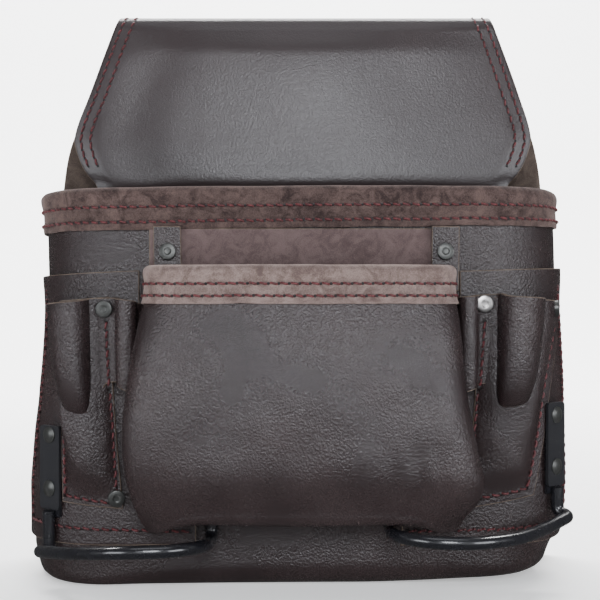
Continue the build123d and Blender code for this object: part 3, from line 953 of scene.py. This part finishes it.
def divide(points, count):
    """The same path with count + 1 evenly spaced points."""
    lengths = [0.0]
    for p, q in zip(points, points[1:]):
        lengths.append(lengths[-1] + math.dist(p, q))
    even, k = [], 0
    for i in range(count + 1):
        at = lengths[-1] * i / count
        while k < len(points) - 2 and lengths[k + 1] < at:
            k += 1
        t = (at - lengths[k]) / max(1e-9, lengths[k + 1] - lengths[k])
        even.append(tuple(mix(a, b, min(1.0, max(0.0, t))) for a, b in zip(points[k], points[k + 1])))
    return even


def arc(centre, radius, start, end, steps=14):
    """Points of an arc, by angle in degrees, seen from above."""
    found = []
    for i in range(steps + 1):
        turn = math.radians(mix(start, end, i / steps))
        found.append((centre[0] + radius * math.cos(turn), centre[1] + radius * math.sin(turn)))
    return found


def along_path(path, u):
    """A point of an evenly divided path and the direction that points away from the pouch."""
    at = min(max(u, 0.0), 1.0) * (len(path) - 1)
    k = min(int(at), len(path) - 2)
    point = tuple(mix(a, b, at - k) for a, b in zip(path[k], path[k + 1]))
    before, after = path[max(0, k - 1)], path[min(len(path) - 1, k + 2)]
    run = (after[0] - before[0], after[1] - before[1])
    size = math.hypot(*run) or 1.0
    return point, (run[1] / size, -run[0] / size)


print("a softened corner:", soften([(0, 0), (4, 0), (4, 4)], 1))

# %% [markdown]
# ## Front pocket
# The big pocket is a soft box: flat cheeks at the strap, a full belly two thirds of the way down and
# a tighter foot. Its leather is thinner than the wall, so it sags and shows long shallow creases.

# %% Front pocket shape
POCKET_REAR = 81.8
POCKET_TOP = 165.0
POCKET_LEFT = [
    (30, 75.5), (32, 77), (36, 80), (42, 82.6), (49, 85), (63, 87.8), (81, 88.4), (110, 85.5),
    (142, 79.9), (147, 77.6), (165, 76.2),
]
POCKET_RIGHT = [
    (30, 76), (33, 79.5), (40, 84), (48, 90), (58, 92.6), (67, 90.6), (86, 86.4), (110, 82.4),
    (143, 79.2), (148, 77.2), (165, 76.0),
]
POCKET_FRONT = [
    (30, 109), (36, 112), (44, 116.6), (62, 122.4), (84, 123.4), (104, 121.8), (128, 118),
    (146, 113.6), (152, 112.9), (165, 112.9),
]
POCKET_FOOT = [
    (-90, 33), (-77, 32), (-68, 34.2), (-56, 36.6), (-40, 37.4), (0, 36.6), (40, 37.2), (58, 36.4),
    (68, 34.6), (78, 32.6), (92, 33.5),
]
FOOT_ROUND = [(-92, 2.2), (-72, 2.5), (-56, 5.5), (0, 7), (58, 5.5), (74, 2.5), (92, 2.2)]
POCKET_CORNER = 15.0
POCKET_BOW = 2.4
POCKET_STEPS = 200
LINE_LOW, LINE_HIGH = 30, 171
FLOOR_PART = 0.10
FILLET_PART = 0.08


def pocket_line(z):
    """The front pocket seen from above at height z, from its right rear edge to its left."""
    left, right = through(POCKET_LEFT, z), through(POCKET_RIGHT, z)
    front = through(POCKET_FRONT, z)
    corner, bow = POCKET_CORNER, POCKET_BOW
    line = [(min(77, right - 1), POCKET_REAR), (min(79.5, right - 0.5), POCKET_REAR + 11)]
    line += arc((right - corner, front - corner - bow), corner, 0, 90)
    for i in range(1, 12):
        x = mix(right - corner, corner - left, i / 12)
        line.append((x, front - bow * (x / 74) ** 2))
    line += arc((corner - left, front - corner - bow), corner, 90, 180)
    line += [(-min(79.5, left - 0.5), POCKET_REAR + 11), (-min(77, left - 1), POCKET_REAR)]
    return divide(soften(divide(line, 90), 10), POCKET_STEPS)


pocket_lines = {z: pocket_line(z) for z in range(LINE_LOW, LINE_HIGH + 1)}
print(len(pocket_lines), "pocket lines, one for each millimetre of height")

# %% Front pocket
def pocket_wall(u, z, lift=0.0):
    """A point of the front pocket's wall: u runs from its left rear edge to its right one."""
    low = math.floor(z)
    a, out_a = along_path(pocket_lines[min(LINE_HIGH, max(LINE_LOW, low))], 1 - u)
    b, out_b = along_path(pocket_lines[min(LINE_HIGH, max(LINE_LOW, low + 1))], 1 - u)
    t = z - low
    x, depth = mix(a[0], b[0], t), mix(a[1], b[1], t)
    out = (mix(out_a[0], out_b[0], t), mix(out_a[1], out_b[1], t))
    free = ease(146, 118, z) * ease(0.06, 0.16, u) * ease(0.94, 0.84, u)
    slack = 1.1 * drift(x, z * 0.8, 34, 11) + 0.5 * drift(x, z, 15, 12)
    ripple = 0.45 * math.sin(x * 0.42 + 1.3 * drift(x, z, 30, 14) * 3)
    pulls = ripple * ease(20, 55, x) * ease(80, 62, x) * ease(82, 60, z)
    lift = lift + free * (slack + pulls)
    return (x + out[0] * lift, depth + out[1] * lift, z)


def pocket_shell(u, v):
    """The front pocket from the rear of its bottom (v 0) to its rim (v 1)."""
    x, _, _ = pocket_wall(u, 42)
    foot, radius = through(POCKET_FOOT, x), through(FOOT_ROUND, x)
    if v < FLOOR_PART:
        share = v / FLOOR_PART
        x, depth, _ = pocket_wall(u, foot + radius, -radius)
        return (x * mix(0.9, 1, share), mix(POCKET_REAR + 1, depth, share), foot + 2.5 * (1 - share) ** 2)
    if v < FLOOR_PART + FILLET_PART:
        turn = (v - FLOOR_PART) / FILLET_PART * math.pi / 2
        x, depth, _ = pocket_wall(u, foot + radius, radius * (math.sin(turn) - 1))
        return (x, depth, foot + radius * (1 - math.cos(turn)))
    climb = (v - FLOOR_PART - FILLET_PART) / (1 - FLOOR_PART - FILLET_PART)
    return pocket_wall(u, mix(foot + radius, POCKET_TOP - 0.8, climb))


front_pocket = cut_panel("front_pocket_leather", 190, 110, pocket_shell)
give_thickness(front_pocket, POCKET_LEATHER - 0.4, LEATHER_SKINS)
hang(front_pocket, "body_leather", "front_pocket")

# %% [markdown]
# The pocket's rim is bound like the mouth. The strip's ends droop, because nothing holds them but the
# last stitches.

# %% Front pocket binding
POCKET_BAND_LOW = 145.4
POCKET_BAND_TOP = 164.2
POCKET_BAND_ROLL = 3.3


def pocket_band(u, share):
    """The folded suede strip over the front pocket's rim."""
    x = pocket_wall(u, 155)[0]
    end = ease(0.10, 0.0, min(u, 1 - u))
    low = POCKET_BAND_LOW + 0.4 * drift(x, 3, 14, 15) - 1.0 * end
    top = POCKET_BAND_TOP + 0.35 * drift(x, 5, 22, 16) - 4.0 * end**2
    inner = -POCKET_LEATHER - SUEDE
    middle = (SUEDE + 0.9 + inner) / 2
    shoulder = top - POCKET_BAND_ROLL
    if share < FACE_END:
        z = mix(low, shoulder, share / FACE_END)
        lift = SUEDE + 0.1 + 0.9 * ease(0.26, FACE_END, share) + 0.22 * drift(x, z, 8, 17)
    elif share < ROLL_END:
        turn = math.pi * (share - FACE_END) / (ROLL_END - FACE_END)
        z = shoulder + POCKET_BAND_ROLL * math.sin(turn)
        lift = middle + (SUEDE + 1.0 - middle) * math.cos(turn) + 0.22 * drift(x, turn * 4, 8, 17)
    else:
        z, lift = mix(shoulder, low, (share - ROLL_END) / (1 - ROLL_END)), inner - 0.2
    return pocket_wall(u, z, lift)


def pocket_row(rise):
    """A seam row, rise of the way up the outside of the strip, by 250ths of its length."""
    return lambda u, share: pocket_band(u / 250, rise + share * 0.001)


pocket_binding = cut_panel(
    "front_pocket_binding_suede", 170, 30, lambda u, v: pocket_band(mix(0.004, 0.996, u), v)
)
give_thickness(pocket_binding, SUEDE - 0.2, POCKET_RIM_SKINS, edge_round=0.4)
hang(pocket_binding, "binding_suede", "front_pocket_binding")
for rise in (0.10, 0.26):
    sew(trace_seam(pocket_row(rise), (6, 0), (244, 0), steps=500))
sew_down("front_pocket_seams")

# %% [markdown]
# ## Backing and straps
# A sheet of suede hangs from the mouth behind the pocket, and two leather straps, riveted through
# everything, carry the pocket's weight.

# %% Backing
BACKING_STAND = [(37, 85.6), (92, 87), (125, 83.8), (150, 81.7), (184, 81.7)]


def backing_sheet(u, v):
    """The suede sheet, flat against the wall at the top and standing off it lower down."""
    z = mix(37.5, 183.6, v)
    half = mix(70, 77, ease(37, 120, z))
    x = mix(-half, half, u)
    stand = through(BACKING_STAND, z)
    return (x, stand - 0.05 + 0.35 * drift(x, z, 30, 19) * ease(150, 130, z), z)


backing = cut_panel("pocket_backing_suede", 90, 90, backing_sheet)
give_thickness(backing, SUEDE, BACKING_SKINS)
hang(backing, "backing_suede", "pocket_backing")

# %% Straps
STRAP_WIDTH = 14.2
STRAP_DEPTH = 81.9 + POCKET_LEATHER
for name, x_middle, lean in (("left", -67.4, -0.3), ("right", 73.9, 0.2)):
    def strap(u, v, x_middle=x_middle, lean=lean):
        """A short strap from under the mouth binding down into the pocket."""
        z = mix(151.5, 184.5, v)
        x = x_middle + (u - 0.5) * STRAP_WIDTH + lean * (z - 168) / 16
        bulge = 0.5 * (1 - (2 * u - 1) ** 2)
        return (x, STRAP_DEPTH + bulge + 0.3 * drift(x, z, 9, 21), z)
    piece = cut_panel(f"pocket_strap_leather_{name}", 20, 40, strap)
    give_thickness(piece, POCKET_LEATHER - 0.3, LEATHER_SKINS)
    hang(piece, "body_leather", f"pocket_strap_{name}")

# %% [markdown]
# ## Plier pockets
# Each plier pocket is cut wider than the place it is sewn to, so its mouth stands open and a fold
# runs down from it. The puff is highest near the outer seam and dies out at the lower seam.

# %% Plier pocket shape
def run_at(x, z, side):
    """The run round the wall at which the wall stands x mm from the middle."""
    flat = half_width(z, side) - CORNER
    x = abs(x)
    return x if x < flat else flat + CORNER * math.asin(min(1.0, (x - flat) / CORNER))


PLIERS = {
    -1: {
        "outer": [(41, 119.6), (83, 120.4), (152, 121.5)],
        "inner": [(41, 89.5), (90, 94), (139, 96.4), (152, 96.8)],
        "top": [(94, 149), (121, 146)],
        "low": [(88, 40.6), (119, 43.6)],
        "ridge": [(44, 0.62), (57, 0.50), (72, 0.25), (90, 0.13), (150, 0.2)],
        "puff": [(41, 0), (48, 0.6), (60, 5.5), (90, 8.5), (120, 8), (150, 8)],
        "seam_outer": [(47.6, 118), (83, 118), (140, 119)],
        "seam_inner": [(48, 93), (76, 94.8), (110, 97.0), (139, 98.8)],
        "seam_low": (47.4, 43.8),
    },
    1: {
        "outer": [(45, 119), (51, 120), (75, 124), (103, 128), (137, 133), (152, 134)],
        "inner": [(41, 87.5), (76, 88), (142, 92.5), (152, 93)],
        "top": [(93, 148.8), (134, 146.5)],
        "low": [(86, 41.0), (119, 47.2)],
        "ridge": [(44, 0.4), (63, 0.36), (97, 0.28), (150, 0.3)],
        "puff": [(41, 0), (50, 0.8), (62, 5.0), (97, 8.5), (120, 8), (150, 8)],
        "seam_outer": [(51, 114.8), (75, 119.3), (103, 123.2), (137, 130.1)],
        "seam_inner": [(47, 86.5), (76, 88.9), (142, 94.2)],
        "seam_low": (51.2, 46.0),
    },
}


def plier_lift(cut, x, z):
    """How far the plier pocket's leather stands off the patch under it."""
    outer, inner = through(cut["seam_outer"], z), through(cut["seam_inner"], z)
    t = (outer - abs(x)) / (outer - inner)
    if t <= 0 or t >= 1:
        return 0.0
    ridge = through(cut["ridge"], z)
    quarter = 0.5 * math.pi
    rise = math.sin(quarter * t / ridge) if t < ridge else math.cos(quarter * (t - ridge) / (1 - ridge))
    return through(cut["puff"], z) * max(0.0, rise) ** 0.8 + 0.5 * drift(x, z, 12, 25)


print("puff of the left plier pocket at 100 mm:", through(PLIERS[-1]["puff"], 100), "mm")

# %% Plier pockets
PLIER_LIFT = 2 * POCKET_LEATHER + 0.3


def plier_panel(side):
    """Laying rule of one plier pocket."""
    cut = PLIERS[side]

    def lay(u, v):
        guess = mix(44, 148, v)
        x = mix(through(cut["inner"], guess), through(cut["outer"], guess), u)
        z = mix(through(cut["low"], x), through(cut["top"], x), v)
        lift = PLIER_LIFT + plier_lift(cut, x, z)
        return wall(side * run_at(x, z, side), z, lift)
    return lay


for side, name in ((-1, "left"), (1, "right")):
    patch = cut_panel(f"plier_pocket_leather_{name}", 70, 120, plier_panel(side))
    if side < 0:
        turn_over(patch)
    give_thickness(patch, POCKET_LEATHER - 0.3, LEATHER_SKINS)
    hang(patch, "body_leather", f"plier_pocket_{name}")

# %% [markdown]
# ## Tool tubes
# One strip makes two tubes on each side. It is curled outwards for the wide tube, laid flat where the
# rivet and the seam hold it, and curled again for the pencil. Towards the foot the wide tube is pinched
# shut like the tip of a glove's finger.

# %% Tool tube shape
TUBES = {
    -1: {
        "wide": [(86, 109.0), (92, 109.6), (110, 110.4), (146, 111.2)],
        "wide_out": [(86, 4), (91, 7.4), (100, 9.4), (112, 11.0), (146, 13.6)],
        "wide_in": [(86, 2.6), (91, 5.0), (100, 6.4), (112, 6.8), (146, 6.8)],
        "wide_high": [(86, 1.5), (89, 4.5), (93, 8.5), (100, 12.0), (112, 14.6), (146, 16.2)],
        "narrow": 87.2,
        "narrow_radius": [(86, 2.0), (96, 4.2), (108, 5.2), (146, 5.6)],
        "inner": 80.0,
        "low": [
            (0, 97), (0.07, 93.6), (0.16, 90.4), (0.28, 89.0), (0.38, 90.4), (0.46, 94.5),
            (0.52, 100), (0.58, 105), (0.72, 104), (0.88, 99), (1, 96),
        ],
        "top": [(0, 143.2), (0.25, 145.6), (0.5, 147.6), (0.62, 148.2), (0.8, 147.4), (1, 145.2)],
    },
    1: {
        "wide": [(90, 105.4), (97, 105.8), (112, 106.6), (146, 107.4)],
        "wide_out": [(90, 5), (94, 8), (100, 9.6), (112, 11.5), (146, 14.4)],
        "wide_in": [(90, 3.4), (94, 5.8), (100, 6.8), (112, 7.2), (146, 7.4)],
        "wide_high": [(90, 2.0), (94, 7.5), (98, 11.0), (104, 13.6), (114, 15.4), (146, 16.8)],
        "narrow": 85.0,
        "narrow_radius": [(86, 2.0), (96, 4.0), (108, 4.8), (146, 5.2)],
        "inner": 78.5,
        "low": [
            (0, 103), (0.07, 98), (0.16, 94.6), (0.28, 93.2), (0.38, 94.6), (0.46, 98.5),
            (0.52, 102), (0.58, 104.5), (0.72, 103), (0.88, 100), (1, 98),
        ],
        "top": [
            (0, 147.4), (0.25, 148.4), (0.42, 149.4), (0.5, 150.4), (0.62, 149.8), (0.8, 149.2),
            (1, 148.0),
        ],
    },
}
TUBE_STEPS = 150
TUBE_LOW, TUBE_HIGH = 84, 151


def tube_line(side, z):
    """The strip seen from above at height z, from its outer edge to its inner one."""
    cut = TUBES[side]
    base = 3 * POCKET_LEATHER + 0.5
    middle = through(cut["wide"], z)
    outer, inner, high = (through(cut[key], z) for key in ("wide_out", "wide_in", "wide_high"))
    runs = [(middle + outer + 1.6, base - 0.6), (middle + outer, base)]
    for i in range(1, 20):
        turn = math.radians(90 * i / 20)
        runs.append((middle + outer * math.cos(turn), base + high * math.sin(turn) ** 1.5))
    for i in range(20):
        turn = math.radians(90 - 90 * i / 20)
        runs.append((middle - inner * math.cos(turn) ** 0.75, base + high * math.sin(turn) ** 0.8))
    small = through(cut["narrow_radius"], z)
    for i in range(8):
        runs.append((mix(middle - inner, cut["narrow"] + small + 1.0, i / 7), base))
    for i in range(25):
        turn = math.radians(mix(-35, 215, i / 24))
        runs.append((cut["narrow"] + small * math.cos(turn), base + small * (1 + math.sin(turn)) * 0.98))
    runs.append((cut["inner"], base - 0.6))
    return divide(soften(divide(runs, 140), 9), TUBE_STEPS)


tube_lines = {(side, z): tube_line(side, z) for side in (-1, 1) for z in range(TUBE_LOW, TUBE_HIGH + 1)}
print(len(tube_lines), "tube lines")

# %% Tool tubes
def tube_point(side, u, z):
    """A point of the strip: u from its outer edge to its inner one."""
    low = math.floor(z)
    a, _ = along_path(tube_lines[side, min(TUBE_HIGH, max(TUBE_LOW, low))], u)
    b, _ = along_path(tube_lines[side, min(TUBE_HIGH, max(TUBE_LOW, low + 1))], u)
    run, lift = mix(a[0], b[0], z - low), mix(a[1], b[1], z - low)
    return run, lift + 0.3 * drift(run, z, 10, 31)


def tube_strip(side):
    """Laying rule of one strip."""
    cut = TUBES[side]

    def lay(u, v):
        z = mix(through(cut["low"], u), through(cut["top"], u), v)
        run, lift = tube_point(side, u, z)
        return wall(side * run, z, lift)
    return lay


for side, name in ((-1, "left"), (1, "right")):
    strip = cut_panel(f"tool_tube_strip_{name}", TUBE_STEPS, 80, tube_strip(side))
    if side > 0:
        turn_over(strip)
    give_thickness(strip, 1.8, LEATHER_SKINS)
    hang(strip, "body_leather", f"tool_tubes_{name}")

# %% [markdown]
# ## Side seams
# The patches are sewn round their edges with the same red thread. A seam is traced on the surface it
# really goes through, so it rides up over a layer and down again.

# %% Side seams
SEAM_TURN = 1.12
PATCH_LIFT = POCKET_LEATHER + 0.4


def on_patch(run, z):
    """The side patch's surface by run and height."""
    return wall(run, z, PATCH_LIFT)


def on_plier(side, shift=0.25):
    """The plier pocket's surface in x and height."""
    def surface(x, z):
        lift = PLIER_LIFT + plier_lift(PLIERS[side], x, z) + shift
        return wall(side * run_at(x, z, side), z, lift)
    return surface


def trace_through(surface, line):
    """Traces a seam that passes through (a, b) stations of a surface."""
    trace = []
    for a, b in zip(line, line[1:]):
        part = trace_seam(surface, a, b, steps=90)
        trace.extend(part if not trace else part[1:])
    return trace


for side in (-1, 1):
    cut = PLIERS[side]
    flip = side < 0
    top = 136.5 if side < 0 else 134
    low_outer, low_inner = cut["seam_low"]
    outer = [(through(cut["seam_outer"], z), z) for z in (top, 110, 85, 65, low_outer)]
    sew(trace_through(on_plier(side), outer), flip=flip)
    bottom_end = 92.5 if side < 0 else 88
    low = [outer[-1], (bottom_end + 12, mix(low_outer, low_inner, 0.6)), (bottom_end, low_inner)]
    sew(trace_through(on_plier(side), low), flip=flip)
    inner = [(through(cut["seam_inner"], z), z) for z in (100, 85, 65, low_inner + 3)]
    sew(trace_through(on_plier(side), inner), flip=flip)
    past_corner = CORNER * (SEAM_TURN - 1)
    outer = [(side * (half_width(z, side) + past_corner), z) for z in (156, 130, 105, 80, 55, 33)]
    sew(trace_through(on_patch, outer), flip=flip)
    edge = abs(outer[-1][0])
    foot = [(edge, 31.4), (118, 30.6), (56, 29.2)]
    sew(trace_through(on_patch, [(side * a, b) for a, b in foot]), flip=not flip)
sew_down("side_seams")

# %% Tube seams
def strip_surface(side, shift=0.2):
    """The flat part of the strip between its tubes, by run and height."""
    def surface(run, z):
        line = tube_lines[side, min(TUBE_HIGH, max(TUBE_LOW, round(z)))]
        lift = min(line, key=lambda point: abs(point[0] - run) + 0.05 * point[1])[1]
        return wall(side * run, z, lift + shift)
    return surface


for side in (-1, 1):
    strip_seam = strip_surface(side)
    start, finish = ((97.4, 136.5), (96.2, 103)) if side < 0 else ((94.0, 136.5), (91.6, 103))
    sew(trace_seam(strip_seam, start, finish), flip=side < 0)
sew_down("tube_seams")

# %% [markdown]
# ## Rivets
# A rivet's head is a low disc, set hard enough to leave a shallow dimple in its middle. Each one is
# turned to lie flat on the leather at its place.

# %% Rivet heads
HEAD_RADIUS = 4.3
HEAD_HEIGHT = 1.8
HEAD_ROOT = 2
RIM_INSET = 0.55
DIMPLE_INSET = 0.12
CROWN_RISE = 0.25
DIMPLE_DEPTH = 0.35
CROWN_ROUND = 0.6


def make_rivet(place, out, material):
    """One rivet head standing on a point of the leather, along the direction out."""
    bpy.ops.object.select_all(action="DESELECT")
    bpy.ops.mesh.primitive_cylinder_add(
        vertices=40, radius=HEAD_RADIUS * MM, depth=(HEAD_HEIGHT + HEAD_ROOT) * MM
    )
    head = bpy.context.object
    bpy.ops.object.mode_set(mode="EDIT")
    bpy.ops.mesh.select_mode(type="FACE")
    bpy.ops.mesh.select_all(action="DESELECT")
    bpy.ops.object.mode_set(mode="OBJECT")
    for face in head.data.polygons:
        face.select = face.normal.z > 0.9
    bpy.ops.object.mode_set(mode="EDIT")
    bpy.ops.mesh.inset(thickness=RIM_INSET * HEAD_RADIUS * MM)
    bpy.ops.transform.translate(value=(0, 0, CROWN_RISE * MM))
    bpy.ops.mesh.inset(thickness=DIMPLE_INSET * HEAD_RADIUS * MM)
    bpy.ops.transform.translate(value=(0, 0, -DIMPLE_DEPTH * MM))
    bpy.ops.object.mode_set(mode="OBJECT")
    bevel = head.modifiers.new("crown", "BEVEL")
    bevel.width = CROWN_ROUND * MM
    bevel.segments = 3
    bevel.limit_method = "ANGLE"
    bevel.angle_limit = math.radians(20)
    apply_all(head)
    only(head)
    bpy.ops.object.shade_smooth_by_angle(angle=math.radians(40))
    turn = out.to_track_quat("Z", "Y").to_matrix().to_4x4()
    head.data.transform(turn)
    for vertex in head.data.vertices:
        vertex.co += place + out * ((HEAD_HEIGHT - HEAD_ROOT) / 2 * MM)
    head.data.materials.append(material)
    return head


def join_pieces(name, parts):
    """Joins parts into one piece."""
    bpy.ops.object.select_all(action="DESELECT")
    for part in parts:
        part.select_set(True)
    bpy.context.view_layer.objects.active = parts[0]
    bpy.ops.object.join()
    parts[0].name = name
    parts[0].data.name = name
    return parts[0]


def facing(surface, a, b, flip=False):
    """The place and outward direction of a surface at (a, b)."""
    here, out = trace_seam(surface, (a, b), (a, b + 0.5), steps=1)[0]
    return here, -out if flip else out


print("a rivet head is", 2 * HEAD_RADIUS, "mm wide")

# %% Rivets
STRAP_OUT = Vector((0.0, -1.0, 0.12)).normalized()
STRAP_RIVET_Z = 171.5
strap_heads = []
for x in (-67.2, 73.9):
    strap_heads.append(make_rivet(spot(x, STRAP_DEPTH + 0.4, STRAP_RIVET_Z), STRAP_OUT, dark_rivet))
hang(join_pieces("strap_rivet_heads", strap_heads), "dark_rivets", "strap_rivets")
left_heads = [
    make_rivet(*facing(strip_surface(-1), 98.0, 142.4, True), dark_rivet),
    make_rivet(*facing(on_plier(-1, 0.0), 93.2, 46.4, True), dark_rivet),
]
hang(join_pieces("pocket_rivet_heads_left", left_heads), "dark_rivets", "pocket_rivets_left")
right_heads = [
    make_rivet(*facing(strip_surface(1), 93.9, 145.0), bright_rivet),
    make_rivet(*facing(on_plier(1, 0.0), 127.6, 142.6), dark_rivet),
]
hang(join_pieces("pocket_rivet_heads_right", right_heads), "bright_rivets", "pocket_rivets_right")

# %% [markdown]
# ## Steel that keeps its CAD shape
# The wire loops, the plates and their rivets are already right, so they only get their finish.

# %% Finishes for the CAD steel
PLATES = [f"loop_plate_{side}_{layer}" for side in ("left", "right") for layer in ("outer", "inner")]
FINISHES = {
    black_coat: ["hammer_loop_left", "hammer_loop_right"],
    plate_steel: PLATES,
    dark_rivet: ["plate_rivets_left", "plate_rivets_right", "rivet_burrs"],
}
for finish, node_names in FINISHES.items():
    for node_name in node_names:
        for material_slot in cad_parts[node_name].material_slots:
            material_slot.material = finish
    print(finish.name, "on", len(node_names), "nodes")

# %% [markdown]
# ## Camera, light and floor
# Dark leather shows its shape by what it mirrors, so the lights are large soft boxes at known places:
# one above the camera for the highlights, and one at each side for the flanks. The floor curves up
# into a backdrop and glows a little, so that it stays pale where the pouch shades it.

# %% Camera
LENS = 71.55
CAMERA_DEPTH = 690
CAMERA_HEIGHT = 147


def make_camera():
    """A level camera in front of the pouch."""
    data = bpy.data.cameras.new("camera")
    data.sensor_width = 36.0
    data.lens = LENS
    camera = add_object("camera", data)
    camera.location = spot(0, CAMERA_DEPTH, CAMERA_HEIGHT)
    camera.rotation_euler = (math.radians(90), 0, 0)
    bpy.context.scene.camera = camera


make_camera()
print("camera", CAMERA_DEPTH, "mm in front of the back panel")

# %% Floor and backdrop
FLOOR_FRONT = -3.0
BEND_START = 1.2
BEND_RADIUS = 0.9
BEND_SHARE = 0.6
SWEEP_WIDTH = 8
SWEEP_RISE = 6
FLOOR_GLOW = 0.45


def sweep_line(t):
    """The sweep's y and z at t: flat up to a half, then a quarter turn, then straight up."""
    if t <= 0.5:
        return mix(FLOOR_FRONT, BEND_START, t / 0.5), 0.0
    turn = (t - 0.5) / 0.5
    angle = min(1.0, turn / BEND_SHARE) * math.pi / 2
    rise = max(0.0, turn - BEND_SHARE) * SWEEP_RISE
    return BEND_START + BEND_RADIUS * math.sin(angle), BEND_RADIUS * (1 - math.cos(angle)) + rise


def make_sweep():
    """A pale floor that curves up into a backdrop."""
    bpy.ops.object.select_all(action="DESELECT")
    bpy.ops.mesh.primitive_grid_add(x_subdivisions=2, y_subdivisions=40, size=1)
    sweep = bpy.context.object
    sweep.name = "sweep"
    for vertex in sweep.data.vertices:
        vertex.co = Vector((vertex.co.x * SWEEP_WIDTH, *sweep_line(vertex.co.y + 0.5)))
    material, bench, principled = shader("pale_floor")
    place = bench.node("ShaderNodeTexCoord").outputs["Object"]
    tone = bench.spread(bench.noise(place, 3.0), 0.3, 0.7)
    paint = bench.blend(tone, (0.90, 0.90, 0.90, 1), (0.92, 0.92, 0.92, 1))
    bench.join(paint, principled.inputs["Base Color"])
    principled.inputs["Roughness"].default_value = 0.9
    principled.inputs["Emission Color"].default_value = (1, 1, 1, 1)
    principled.inputs["Emission Strength"].default_value = FLOOR_GLOW
    sweep.data.materials.append(material)
    only(sweep)
    bpy.ops.object.shade_smooth()
    sweep.visible_glossy = False
    sweep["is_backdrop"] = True


make_sweep()
print("the sweep bends up", BEND_START, "m behind the pouch")

# %% Lights
COOL = (0.92, 0.95, 1.0)
WHITE = (1, 1, 1)
LIGHTS = {
    "key": ((0.07, -1.30, 0.63), (0, 0, 0.16), (0.46, 0.48), 12.6, COOL),
    "above": ((0.0, -0.35, 1.25), (0, 0, 0.2), (1.0, 0.4), 3, COOL),
    "front_fill": ((0.0, -1.35, 0.28), (0, 0, 0.12), (0.9, 0.22), 1.3, COOL),
    "low": ((0.0, -1.2, 0.05), (0, 0, 0.05), (1.4, 0.05), 0.8, COOL),
    "left": ((-1.0, -0.85, 0.30), (0, 0, 0.14), (0.7, 0.5), 8.0, COOL),
    "right": ((1.0, -0.85, 0.30), (0, 0, 0.14), (0.7, 0.5), 10.0, COOL),
    "backdrop_wash": ((0.0, 1.0, 2.0), (0, 1.95, 0.3), (3.0, 0.5), 240, WHITE),
}


def make_softbox(name, place, aim, size, power, colour):
    """A rectangular soft light."""
    data = bpy.data.lights.new(name, "AREA")
    data.shape = "RECTANGLE"
    data.size, data.size_y = size
    data.energy = power
    data.color = colour
    lamp = add_object(name, data)
    lamp.location = place
    lamp.rotation_euler = (Vector(aim) - Vector(place)).to_track_quat("-Z", "Y").to_euler()


for light_name, light in LIGHTS.items():
    make_softbox(light_name, *light)
print(len(LIGHTS), "lights")

# %% Sky
SKY_LIGHT = 0.10
SKY_SEEN = 0.75
world = bpy.data.worlds.new("studio")
bpy.context.scene.world = world
world.use_nodes = True
sky = Bench(world.node_tree)
background = world.node_tree.nodes["Background"]
background.inputs["Color"].default_value = (1, 1, 1, 1)
seen = sky.node("ShaderNodeLightPath").outputs["Is Camera Ray"]
strength = sky.math("ADD", SKY_LIGHT, sky.math("MULTIPLY", seen, SKY_SEEN))
sky.join(strength, background.inputs["Strength"])
print("sky strength", SKY_LIGHT)

# %% [markdown]
# ## Sizes
# The last step measures the box round the dressed pouch, leaving out the backdrop. Puffed leather
# may pass the CAD box by a few millimetres and no more.

# %% Sizes
low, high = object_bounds()
